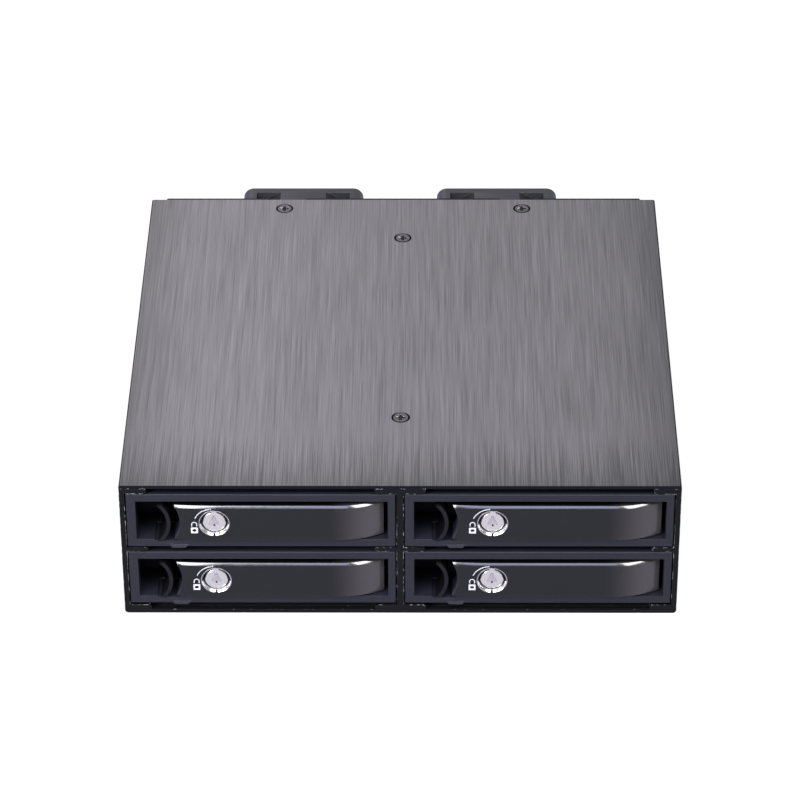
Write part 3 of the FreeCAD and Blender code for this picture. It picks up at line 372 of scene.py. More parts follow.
@dataclass(frozen=True)
class PunchedSheet(Finish):
    """Black painted steel whose punched edges show specks of bare metal, fewer
    of them low down."""

    bare: str = "d6d4da"
    speck_mm: float = 1.1
    edge_mm: float = 0.14
    low_mm: tuple[float, float] = (1.2, 1.8)
    low_loss: float = 0.13
    speck_span: tuple[float, float] = (0.52, 0.58)

    def decorate(self, canvas: Canvas) -> None:
        """Add the paint's grain, and bright specks along the sharp edges.

        Args:
            canvas: the material to paint.
        """
        super().decorate(canvas)
        tree = canvas.tree
        bevel = add_node(tree, "Bevel", {"samples": 4}, {"Radius": self.edge_mm * MM})
        turn = add_node(tree, "VectorMath", {"operation": "DOT_PRODUCT"}, {
            0: bevel.outputs["Normal"],
            1: add_node(tree, "NewGeometry").outputs["Normal"]})
        edge = add_node(tree, "MapRange", inputs={
            "Value": turn.outputs["Value"], "From Min": FLAT_ON,
            "From Max": TURNED_AWAY})
        speck = add_node(tree, "TexNoise", inputs={
            "Vector": canvas.place, "Scale": 1.0 / (self.speck_mm * MM),
            "Detail": 2.0})
        height = add_node(tree, "SeparateXYZ", inputs={"Vector": canvas.place})
        sheltered = add_node(tree, "MapRange", inputs={
            "Value": height.outputs["Z"], "From Min": self.low_mm[0] * MM,
            "From Max": self.low_mm[1] * MM, "To Min": self.low_loss, "To Max": 0.0})
        kept = add_node(tree, "Math", {"operation": "SUBTRACT"}, {
            0: speck.outputs["Fac"], 1: sheltered.outputs["Result"]})
        chosen = add_node(tree, "MapRange", inputs={
            "Value": kept.outputs["Value"], "From Min": self.speck_span[0],
            "From Max": self.speck_span[1]})
        mask = add_node(tree, "Math", {"operation": "MULTIPLY"}, {
            0: edge.outputs["Result"], 1: chosen.outputs["Result"]})
        canvas.blend(mask.outputs["Value"], canvas.colour, linear(self.bare))


@dataclass(frozen=True)
class LeverPlastic(Finish):
    """Polished black plastic, paler towards the hinge: a painted sheen where the curved
    end catches light.
    """

    hinge_sheen: str = "3d3a3c"
    tray_pitch_mm: float = 72.5
    tray_left_mm: float = 71.3
    sheen_from_mm: float = 52.0
    sheen_to_mm: float = 66.0

    def decorate(self, canvas: Canvas) -> None:
        """Add the mould's faint grain, and the painted sheen on the hinge end.

        Args:
            canvas: the material to paint.
        """
        super().decorate(canvas)
        tree = canvas.tree
        axes = add_node(tree, "SeparateXYZ", inputs={"Vector": canvas.place})
        moved = add_node(tree, "Math", {"operation": "ADD"}, {
            0: axes.outputs["X"], 1: self.tray_left_mm * MM})
        across = add_node(tree, "Math", {"operation": "FLOORED_MODULO"}, {
            0: moved.outputs["Value"], 1: self.tray_pitch_mm * MM})
        share = add_node(tree, "MapRange", {"interpolation_type": "SMOOTHSTEP"}, {
            "Value": across.outputs["Value"], "From Min": self.sheen_from_mm * MM,
            "From Max": self.sheen_to_mm * MM})
        # painted sheen: the hinge end of each tray's lever is paler
        canvas.blend(share.outputs["Result"], canvas.colour, linear(self.hinge_sheen))


@dataclass(frozen=True)
class ClearPlastic(Finish):
    """Smoked clear acrylic that carries light."""

    clear: float = 0.55

    def decorate(self, canvas: Canvas) -> None:
        """Add the grain, and let some light pass through.

        Args:
            canvas: the material to paint.
        """
        super().decorate(canvas)
        canvas.shader.inputs["Transmission Weight"].default_value = self.clear


FINISHES = {
    # anodised aluminium, belt brushed: grey, with long scratches
    "brushed_cover": BrushedAluminium("brushed_anodised_aluminium", "afadb3", 0.42,
                                      metallic=1.0, mottle=0.27, bump=0.1),
    # the same metal turned and countersunk: a little darker and smoother
    "cover_screw": Finish("turned_grey_screw", "98969b", 0.36, metallic=1.0,
                          mottle=0.1, grain_mm=0.3),
    # black powder coat on folded steel: satin, faintly rough
    "case_steel": Finish("powder_coated_steel", "26262c", 0.5, mottle=0.1,
                         grain_mm=0.35, bump=0.25),
    "front_steel": PunchedSheet("punched_painted_steel", "0a0a0e", 0.55, ior=1.26,
                                mottle=0.1, grain_mm=0.35, bump=0.2),
    # black zinc on steel: dark, with a soft cloudy sheen
    "rear_steel": Finish("black_zinc_plated_steel", "3c3c42", 0.42, metallic=1.0,
                         mottle=0.16, grain_mm=4.0),
    "plated_screw": Finish("zinc_plated_steel", "a9a9ad", 0.3, metallic=1.0,
                           mottle=0.1, grain_mm=0.4),
    "circuit_board": Finish("solder_mask_on_glass_epoxy", "123a26", 0.35,
                            mottle=0.25, grain_mm=1.6, coat=0.4),
    "plated_brass": Finish("nickel_plated_brass", "c2b78f", 0.3, metallic=1.0),
    "black_plastic": Finish("moulded_nylon", "16161a", 0.5, grain_mm=0.3, bump=0.15),
    "fan_plastic": Finish("moulded_pbt", "35353a", 0.42, mottle=0.1, grain_mm=0.3,
                          bump=0.2),
    "pan_steel": Finish("painted_sheet_steel", "2a2a2f", 0.42, mottle=0.1,
                        grain_mm=0.4, bump=0.15),
    # injection moulded ABS with a fine spark texture: dull blue black
    "bezel_plastic": Finish("textured_abs", "1b1c25", 0.46, ior=1.4, mottle=0.08,
                            grain_mm=0.28, bump=0.3),
    # polished mould: the same ABS reads as gloss black
    "lever_plastic": LeverPlastic("polished_abs", "09090c", 0.12, grain_mm=2.5),
    # the lever's upper edge is buffed after moulding: the hardest gloss on it
    "lever_edge": LeverPlastic("buffed_abs_edge", "09090c", 0.12, ior=1.82,
                               grain_mm=2.5),
    # the lever's unpolished end, as it comes from the mould
    "lever_end": Finish("moulded_abs", "33343e", 0.5, mottle=0.08, grain_mm=0.3),
    "latch_plastic": Finish("satin_abs", "0b0b0f", 0.4, ior=1.36, mottle=0.08,
                            grain_mm=0.3),
    "chrome_ring": Finish("chrome_plated_zinc", "e9e7e6", 0.2, metallic=1.0,
                          mottle=0.02, grain_mm=0.8),
    "lock_barrel": Finish("nickel_plated_brass_barrel", "fff8ee", 0.3, metallic=1.0,
                          mottle=0.1, grain_mm=0.35),
    "spring_steel": Finish("spring_steel", "9a9aa0", 0.3, metallic=1.0),
    "light_guide": ClearPlastic("smoked_acrylic", "3a3a42", 0.12, ior=1.49,
                                mottle=0.05, grain_mm=1.0),
    "white_ink": Finish("screen_printed_ink", "c6c6ce", 0.5, mottle=0.05,
                        grain_mm=0.12),
    # painted shade in a keyway: the barrel's metal, a little duller, and darker as
    # painted shade
    "keyway_floor": Finish("shaded_keyway_nickel", "e4dcda", 0.38, metallic=1.0,
                           mottle=0.2, grain_mm=0.2),
    # painted shade: a near-black finish put in recesses and deep gaps where shade falls
    "painted_shade": Finish("painted_shade_finish", "0a0a0c", 0.7, mottle=0.3, grain_mm=0.2),
}


class Wardrobe:
    """Builds each finish once and hands it out."""

    def __init__(self) -> None:
        """Start with no finish built."""
        self.built: dict[str, bpy.types.Material] = {}

    def get(self, key: str) -> bpy.types.Material:
        """Return the finish of that key, built on first use."""
        if key not in self.built:
            self.built[key] = FINISHES[key].build()
        return self.built[key]

    def dress(self, piece: bpy.types.Object, key: str) -> None:
        """Give every slot of a piece one finish."""
        material = self.get(key)
        if not piece.material_slots:
            piece.data.materials.append(material)
        for place in piece.material_slots:
            place.material = material


# ---------------------------------------------------------------- surfaces
def to_mesh(name: str, points: np.ndarray, faces: list, smooth: bool = True
            ) -> bpy.types.Object:
    """Put points and faces into a new object at the origin.

    Args:
        name: the piece's name.
        points: N x 3 array of places in millimetres.
        faces: lists of point numbers.
        smooth: whether faces are shaded smooth.

    Returns:
        The new object, linked into the scene.
    """
    mesh = bpy.data.meshes.new(name)
    mesh.from_pydata((np.asarray(points) * MM).tolist(), [], faces)
    mesh.update()
    mesh.polygons.foreach_set("use_smooth", [smooth] * len(mesh.polygons))
    piece = bpy.data.objects.new(name, mesh)
    bpy.context.scene.collection.objects.link(piece)
    return piece


def grid_faces(rings: int, steps: int, close: bool = False) -> list:
    """Quads between rings of points that are stored one after another.

    Args:
        rings: number of rings.
        steps: points in each ring.
        close: whether the last ring joins the first.

    Returns:
        The quads as lists of point numbers.
    """
    number = np.arange(rings * steps).reshape(rings, steps)
    number = np.concatenate([number, number[:, :1]], axis=1)
    if close:
        number = np.concatenate([number, number[:1]], axis=0)
    quads = np.stack([number[:-1, :-1], number[:-1, 1:], number[1:, 1:],
                      number[1:, :-1]], axis=-1)
    return quads.reshape(-1, 4).tolist()


def lathe_faces(rings: int, steps: int) -> list:
    """Quads between rings of points, then triangles to a point at either end.

    Args:
        rings: number of rings; the low and the high end point come after them.
        steps: points in each ring.

    Returns:
        The faces: all the quads, then one low and one high triangle by turns.
    """
    faces = grid_faces(rings, steps)
    low, high, last = rings * steps, rings * steps + 1, (rings - 1) * steps
    for step in range(steps):
        after = (step + 1) % steps
        faces += [[low, after, step], [high, last + step, last + after]]
    return faces


def joined(parts: list) -> tuple[np.ndarray, list]:
    """Several sets of points and faces as one set."""
    faces, first = [], 0
    for points, some_faces in parts:
        faces += [[index + first for index in face] for face in some_faces]
        first += len(points)
    return np.concatenate([points for points, _ in parts]), faces


def side_axes(axis: np.ndarray) -> tuple[np.ndarray, np.ndarray]:
    """Two unit directions that make a right-handed set with an axis."""
    hint = np.array([0.0, 0.0, 1.0]) if abs(axis[2]) < 0.9 else np.array([1.0, 0, 0])
    across = np.cross(hint, axis)
    across /= np.linalg.norm(across)
    return across, np.cross(axis, across)


def turned(name: str, profile: np.ndarray, origin: np.ndarray, axis: np.ndarray,
           steps: int) -> bpy.types.Object:
    """A lathe shape: a profile of (radius, height) turned about an axis. The
    profile starts and ends on the axis, so the surface is closed.

    Args:
        name: the piece's name.
        profile: M x 2 array, from the bottom on the axis to the top on it.
        origin: where height 0 lies on the axis.
        axis: unit direction of growing height.
        steps: points round the axis.

    Returns:
        The new object.
    """
    across, up = side_axes(axis)
    angle = np.arange(steps) * 2.0 * math.pi / steps
    ring = np.cos(angle)[:, None] * across + np.sin(angle)[:, None] * up
    radius, height = profile[1:-1, 0], profile[1:-1, 1]
    body = (origin + radius[:, None, None] * ring[None]
            + height[:, None, None] * axis).reshape(-1, 3)
    ends = origin + profile[[0, -1], 1][:, None] * axis
    return to_mesh(name, np.concatenate([body, ends]), lathe_faces(len(radius), steps))


def recalculate(piece: bpy.types.Object) -> None:
    """Merge doubles and turn every face outwards."""
    shell = bmesh.new()
    shell.from_mesh(piece.data)
    bmesh.ops.remove_doubles(shell, verts=shell.verts, dist=SAME_POINT)
    bmesh.ops.recalc_face_normals(shell, faces=shell.faces)
    shell.to_mesh(piece.data)
    shell.free()


def round_tool(spot: np.ndarray, radius: float, axis: tuple, length: float
               ) -> bpy.types.Object:
    """A round bar for cutting a hole, centred on a spot.

    Args:
        spot: its middle, in millimetres.
        radius: the hole's radius.
        axis: unit direction of the hole.
        length: the bar's length.

    Returns:
        The bar.
    """
    half = length / 2
    profile = np.array([(0, -half), (radius, -half), (radius, half), (0, half)])
    return turned("cutter", profile, spot, np.array(axis, float), CUTTER_STEPS)


def box_tool(low: np.ndarray, high: np.ndarray) -> bpy.types.Object:
    """A box between two corners, for cutting a notch."""
    ends = np.stack([low, high])
    points = [(ends[i][0], ends[j][1], ends[k][2])
              for k in (0, 1) for j in (0, 1) for i in (0, 1)]
    return to_mesh("cutter", points, [[0, 2, 3, 1], [4, 5, 7, 6], [0, 1, 5, 4],
                                      [2, 6, 7, 3], [0, 4, 6, 2], [1, 3, 7, 5]])


def subtract(piece: bpy.types.Object, tool: bpy.types.Object) -> None:
    """Cut a tool out of a piece, then delete the tool."""
    recalculate(tool)
    cut = piece.modifiers.new("cut", "BOOLEAN")
    cut.operation = "DIFFERENCE"
    cut.solver = "EXACT"
    cut.object = tool
    graph = bpy.context.evaluated_depsgraph_get()
    cut_mesh = bpy.data.meshes.new_from_object(piece.evaluated_get(graph))
    old = piece.data
    piece.modifiers.clear()
    piece.data = cut_mesh
    bpy.data.meshes.remove(old)
    bpy.data.objects.remove(tool)


def faces_about(piece: bpy.types.Object, spot: np.ndarray) -> Iterator[tuple]:
    """Go through a piece's faces as seen from a spot.

    Args:
        piece: the piece.
        spot: the spot, in millimetres.

    Yields:
        A face, its middle from the spot, and its distance from the axis that
        runs through the spot from front to back.
    """
    for polygon in piece.data.polygons:
        place = np.array(polygon.center) / MM - spot
        yield polygon, place, math.hypot(place[0], place[2])


def centre_of(node: str) -> np.ndarray:
    """Middle of a CAD node's box, in millimetres."""
    low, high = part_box(node)
    return (np.array(low) + np.array(high)) / 2.0 / MM


def low_of(node: str) -> np.ndarray:
    """Lowest corner of a CAD node's box, in millimetres."""
    return np.array(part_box(node)[0]) / MM


def high_of(node: str) -> np.ndarray:
    """Highest corner of a CAD node's box, in millimetres."""
    return np.array(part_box(node)[1]) / MM


def soft_copy(node: str, body: str, width: float, finish: str, wardrobe: Wardrobe,
              segments: int = 3) -> bpy.types.Object:
    """Stand a round-edged copy in for a CAD node: doubles are merged, flat
    facets joined, and every sharp edge rounded.

    Args:
        node: the CAD node.
        body: the body that it rides on.
        width: the edge radius, in millimetres.
        finish: key of its finish.
        wardrobe: where the finish comes from.
        segments: steps of the rounding.

    Returns:
        The new piece.
    """
    source = frame["nodes"][node]
    mesh = source.data.copy()
    mesh.materials.clear()
    shell = bmesh.new()
    shell.from_mesh(mesh)
    bmesh.ops.remove_doubles(shell, verts=shell.verts, dist=SAME_CAD_POINT)
    bmesh.ops.dissolve_limit(shell, angle_limit=math.radians(FLAT_TURN),
                             verts=shell.verts, edges=shell.edges)
    shell.to_mesh(mesh)
    shell.free()
    mesh.polygons.foreach_set("use_smooth", [True] * len(mesh.polygons))
    mesh.set_sharp_from_angle(angle=math.radians(SHARP_TURN))
    piece = bpy.data.objects.new(node + "_dressed", mesh)
    bpy.context.scene.collection.objects.link(piece)
    rounding = piece.modifiers.new("edge", "BEVEL")
    rounding.width = width * MM
    rounding.segments = segments
    rounding.limit_method = "ANGLE"
    rounding.angle_limit = math.radians(SHARP_TURN)
    rounding.harden_normals = True
    wardrobe.dress(piece, finish)
    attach(piece, body)
    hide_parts(node)
    return piece


# ------------------------------------------------------------------- screws
@dataclass
class ScrewHead:
    """A cross-recessed head with a short shank under it, made as one closed
    surface: rings about the screw's axis, lowered where the cross is cut. The
    sizes of the cross are those of a head of full_radius."""

    wardrobe: Wardrobe
    radius: float
    kind: Head
    rise: float = 0.85
    dome: float = 0.92
    recess: float = 0.8
    full_radius: float = 2.5
    arm_width: float = 0.74
    arm_length: float = 1.25
    arm_fall: float = 0.4
    arm_soft: float = 0.1
    rim: float = 0.46
    rim_wall: float = 0.08
    rim_depth: float = 0.4
    skirt: float = 0.1
    shank: float = 1.4
    # shares of the head's radius: a pan head's shank, then a flush head's seat
    # cone (its end's radius and its height) and shank
    pan_shank: float = 0.5
    seat_cone: tuple[float, float] = (0.56, 0.4)
    flush_shank: float = 0.54
    # what counts as recess, which takes painted shade: this much of the cross, this far
    # under the face
    dark_arm: float = 0.4
    dark_depth: float = 0.05
    sharp: float = 50.0
    steps: int = 72
    rings: int = 34

    def surface(self, spot: np.ndarray, axis: np.ndarray
                ) -> tuple[np.ndarray, list, list]:
        """Grid of angle and radius. A flush head is flat inside a sunk rim, a
        pan head is a low dome. The cross is deepest in the middle and runs out
        along its arms.

        Args:
            spot: middle of the head's seat rim, in millimetres.
            axis: unit direction out of the head.

        Returns:
            Points, faces, and for each face whether it lies in a recess.
        """
        share = np.linspace(1.0, 0.0, self.rings + 1)[:-1]
        radius = self.radius * share
        if self.kind is Head.FLUSH:
            inner = self.radius - self.rim
            wall = np.clip((radius - inner) / self.rim_wall, 0.0, 1.0)
            height = -self.rim_depth * wall
        else:
            height = self.rise * np.sqrt(1.0 - self.dome * share ** 4)
        angle = np.arange(self.steps) * 2.0 * math.pi / self.steps
        x = radius[:, None] * np.cos(angle)
        y = radius[:, None] * np.sin(angle)
        size = self.radius / self.full_radius
        arms = np.maximum(self.bar(x, y, size), self.bar(y, x, size))
        fall = 1.0 - self.arm_fall * np.clip(radius / (self.arm_length * size), 0.0, 1.0)
        top = height[:, None] - self.recess * size * arms * fall[:, None]
        sunk = (self.kind is Head.FLUSH) * (height < -self.dark_depth)
        dark = (arms > self.dark_arm) | sunk[:, None]
        across, up = side_axes(axis)
        grid = (spot + x[..., None] * across + y[..., None] * up
                + top[..., None] * axis)
        under = self.underside()
        ring = np.cos(angle)[:, None] * across + np.sin(angle)[:, None] * up
        lower = np.array([spot + width * ring + depth * axis
                          for width, depth in reversed(under)])
        rows = np.concatenate([lower, grid])
        ends = np.array([spot + under[-1][1] * axis, spot + top[-1].mean() * axis])
        wide = np.concatenate([np.zeros((len(under), self.steps), bool), dark])
        deep = (wide[:-1] | wide[1:]).reshape(-1).tolist() + [False, True] * self.steps
        return (np.concatenate([rows.reshape(-1, 3), ends]),
                lathe_faces(len(rows), self.steps), deep)

    def underside(self) -> list[tuple[float, float]]:
        """Radius and height of the rings under the head.

        Returns:
            The rings from the head's rim to the shank's end.
        """
        radius = self.radius
        if self.kind is Head.PAN:
            return [(radius, 0.0), (radius * self.pan_shank, 0.0),
                    (radius * self.pan_shank, -self.shank)]
        seat, (narrow, tall) = -self.rim_depth - self.skirt, self.seat_cone
        return [(radius, seat), (radius * narrow, seat - radius * tall),
                (radius * self.flush_shank, seat - self.shank)]

    def bar(self, along: np.ndarray, beside: np.ndarray, size: float) -> np.ndarray:
        """One arm of the cross: 1 inside a bar, with soft sides.

        Args:
            along: distance along the bar.
            beside: distance across it.
            size: the cross's size against that of a large screw.

        Returns:
            1 inside, 0 outside, for each point.
        """
        soft = self.arm_soft * size
        inside = np.clip((self.arm_width * size / 2 - np.abs(beside)) / soft + 0.5, 0, 1)
        ends = np.clip((self.arm_length * size - np.abs(along)) / soft + 0.5, 0, 1)
        return inside * ends

    def build(self, name: str, spots: list, axis: np.ndarray, body: str,
              finish: str, nodes: tuple = ()) -> None:
        """Make a set of equal screws as one piece.

        Args:
            name: the piece's name.
            spots: middles of the seats, in millimetres.
            axis: unit direction out of the heads.
            body: the CAD body that they ride on.
            finish: key of their finish.
            nodes: CAD nodes that the piece stands for.
        """
        heads = [self.surface(np.array(spot, float), axis) for spot in spots]
        piece = to_mesh(name, *joined([head[:2] for head in heads]))
        self.wardrobe.dress(piece, finish)
        # painted shade: the cross and the sunk rim take the near-black recess finish
        piece.data.materials.append(self.wardrobe.get("painted_shade"))
        piece.data.polygons.foreach_set(
            "material_index", [int(sunk) for head in heads for sunk in head[2]])
        recalculate(piece)
        piece.data.set_sharp_from_angle(angle=math.radians(self.sharp))
        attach(piece, body)
        if nodes:
            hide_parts(*nodes)


# -------------------------------------------------------------------- trays
@dataclass
class TrayPart:
    """What the parts of one tray's front share: the tray's corner, the box of
    its lever and the axis of its lock. Points are (across, depth, up) from the
    lower left front corner of the bezel."""

    bay: Bay
    wardrobe: Wardrobe
    origin: np.ndarray = field(init=False)
    low: np.ndarray = field(init=False)
    high: np.ndarray = field(init=False)
    lock_centre: np.ndarray = field(init=False)

    def __post_init__(self) -> None:
        """Find the tray's corner, the lever's box and the lock in the frame."""
        self.origin = low_of(self.name("bezel"))
        self.low = low_of(self.name("lever")) - self.origin
        self.high = high_of(self.name("lever")) - self.origin
        centre = centre_of(self.name("lock_housing")) - self.origin
        self.lock_centre = centre[[0, 2]]

    @property
    def face(self) -> float:
        """Depth of the lever's flat face."""
        return self.low[1]

    def name(self, piece: str) -> str:
        """Full name of one of this tray's pieces or nodes."""
        return f"{self.bay.value}_{piece}"

    def lock_spot(self, depth: float) -> np.ndarray:
        """A point on the lock's axis, in millimetres of the frame."""
        across, up = self.lock_centre
        return self.origin + (across, depth, up)

    def finish(self, piece: bpy.types.Object, body: str, finish: str,
               node: str = "") -> None:
        """Dress a piece, put it on one of this tray's bodies, and let it stand
        for a CAD node if one is named.

        Args:
            piece: the piece; one that has two finishes already keeps them.
            body: the body, without the tray's name.
            finish: key of the finish.
            node: the CAD node, without the tray's name.
        """
        if len(piece.material_slots) < 2:
            self.wardrobe.dress(piece, finish)
        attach(piece, self.name(body))
        if node:
            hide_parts(self.name(node))


@dataclass
class Lever(TrayPart):
    """The lever's glossy shell, with holes for the lock and the hinge pin."""

    flat_end: float = 55.3
    curve_radius: float = 23.0
    heel: float = 0.7
    heel_turn: tuple[float, float] = (-0.1, 0.4)
    free_corner: float = 0.2
    hollow: float = 1.5
    hollow_reach: float = 5.0
    overhang: float = 0.4
    top_bevel: float = 0.7
    bevel_crown: float = 0.014
    bevel_flat: float = 0.04
    bottom_roll: float = 0.25
    end_bow: float = 0.45
    end_bow_reach: float = 12.0
    lock_hole: float = 3.75
    lock_hole_length: float = 12.0
    pin: tuple[float, float, float] = (62.0, 5.0, 8.0)
    pin_hole: float = 1.06
    pin_hole_length: float = 16.0
    # which faces are the hollowed end's and the upper bevel's
    end_turn: float = -0.7
    end_margin: float = 1.0
    bevel_turn: tuple[float, float] = (0.3, 0.95)
    sharp: float = 50.0
    roll_steps: int = 5
    flat_steps: int = 40
    arc_steps: int = 30
    base_steps: int = 24
    wall_rows: int = 12
    bevel_rows: int = 9

    @property
    def left(self) -> float:
        """Where the shell's free end lies."""
        return self.low[0] - self.overhang

    def plan(self, draw_in: float) -> np.ndarray:
        """Outline of the lever seen from above: the flat face, the arc that
        leaves it at a tangent, the heel and the straight back.

        Args:
            draw_in: how far the face and the arc lie behind the outer ones.

        Returns:
            N x 2 array of (across, depth), anticlockwise from above.
        """
        face, back = self.face + draw_in, self.high[1]
        corner = self.free_corner
        turn = np.linspace(0.0, math.pi / 2, self.roll_steps)
        start = np.stack([self.left + corner * (1 - np.sin(turn)),
                          face + self.bow(self.left)
                          + corner * (1 - np.cos(turn))], axis=1)[::-1]
        across = np.linspace(self.left + corner, self.flat_end, self.flat_steps)
        flat = np.stack([across, face + self.bow(across)], axis=1)
        reach = math.asin((self.high[0] - self.flat_end) / self.curve_radius)
        bend = np.linspace(0.0, reach, self.arc_steps)[1:]
        radius = self.curve_radius - draw_in
        arc = np.stack([self.flat_end + radius * np.sin(bend),
                        face + radius * (1 - np.cos(bend))], axis=1)
        heel = self.high[0] - self.heel
        rear = np.array([arc[-1] + self.heel_turn, [heel, back]])
        base = np.stack([np.linspace(heel, self.left, self.base_steps),
                         np.full(self.base_steps, back)], axis=1)[1:]
        return np.concatenate([start, flat[1:], arc, rear, base])

    def bow(self, across: np.ndarray | float) -> np.ndarray | float:
        """How far the face falls back towards its free end."""
        near = np.clip(1.0 - (across - self.left) / self.end_bow_reach, 0.0, 1.0)
        return self.end_bow * near ** 2

    def rows(self) -> list[tuple[float, float]]:
        """Heights of the lever's rows with how far each is drawn in: a quarter
        circle at the bottom, straight, and a bevel on top that swells a little
        and ends in a hair of flat, so that the shading stays crisp.

        Returns:
            Pairs of height and draw-in, from the bottom up.
        """
        low, high = self.low[2], self.high[2]
        small, slope, hair = self.bottom_roll, self.top_bevel, self.bevel_flat
        turn = np.linspace(0.0, math.pi / 2, self.roll_steps)
        bottom = [(low + small * (1 - math.cos(t)), small * (1 - math.sin(t)))
                  for t in turn]
        middle = [(up, 0.0) for up in np.linspace(low + small, high - slope,
                                                  self.wall_rows)[1:-1]]
        middle.append((high - slope - hair, 0.0))
        top = []
        for share in np.linspace(0.0, 1.0, self.bevel_rows):
            swell = self.bevel_crown * math.sin(math.pi * share) / math.sqrt(2.0)
            top.append((high - slope * (1 - share) + swell, slope * share - swell))
        return bottom + middle + top + [(high, slope + hair)]

    def scoop(self, up: float, across: np.ndarray) -> np.ndarray:
        """How far the free end is hollowed at a height: a circular arc through
        both corners, fading out along the lever."""
        half = (self.high[2] - self.low[2]) / 2
        radius = (half ** 2 + self.hollow ** 2) / (2 * self.hollow)
        off = up - (self.high[2] + self.low[2]) / 2
        depth = math.sqrt(max(radius ** 2 - off ** 2, 0.0)) - (radius - self.hollow)
        fade = np.clip(1.0 - (across - self.left) / self.hollow_reach, 0.0, 1.0)
        return depth * fade

    def build(self) -> None:
        """The lever as a stack of its plan outline, drawn in by the roll of
        the lower edge and the bevel of the upper one. The free end is hollowed
        by a circle through its two corners."""
        layers = []
        for up, draw_in in self.rows():
            ring = self.plan(draw_in)
            layers.append(np.column_stack([ring[:, 0] + self.scoop(up, ring[:, 0]),
                                           ring[:, 1], np.full(len(ring), up)]))
        points = np.concatenate(layers) + self.origin
        count, length = len(layers), len(layers[0])
        faces = grid_faces(count, length)
        faces.append(list(range(length))[::-1])
        faces.append([(count - 1) * length + index for index in range(length)])
        lever = to_mesh(self.name("lever_shell"), points, faces)
        recalculate(lever)
        self.wardrobe.dress(lever, "lever_plastic")
        subtract(lever, round_tool(self.lock_spot(self.face), self.lock_hole,
                                   (0, 1, 0), self.lock_hole_length))
        subtract(lever, round_tool(self.origin + self.pin, self.pin_hole,
                                   (0, 0, 1), self.pin_hole_length))
        self.paint(lever)
        lever.data.set_sharp_from_angle(angle=math.radians(self.sharp))
        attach(lever, self.name("lever"))
        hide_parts(self.name("lever"))

    def paint(self, lever: bpy.types.Object) -> None:
        """Give the hollowed end a dull finish, since the mould is polished on
        the face alone, and the upper edge a harder gloss.

        Args:
            lever: the piece whose faces are painted.
        """
        for key in ("lever_end", "lever_edge"):
            lever.data.materials.append(self.wardrobe.get(key))
        limit = (self.origin[0] + self.left + self.hollow + self.end_margin) * MM
        low, high = self.bevel_turn
        for polygon in lever.data.polygons:
            if polygon.normal.x < self.end_turn and polygon.center.x < limit:
                polygon.material_index = 1
            elif low < polygon.normal.z < high and polygon.normal.y < 0.0:
                polygon.material_index = 2


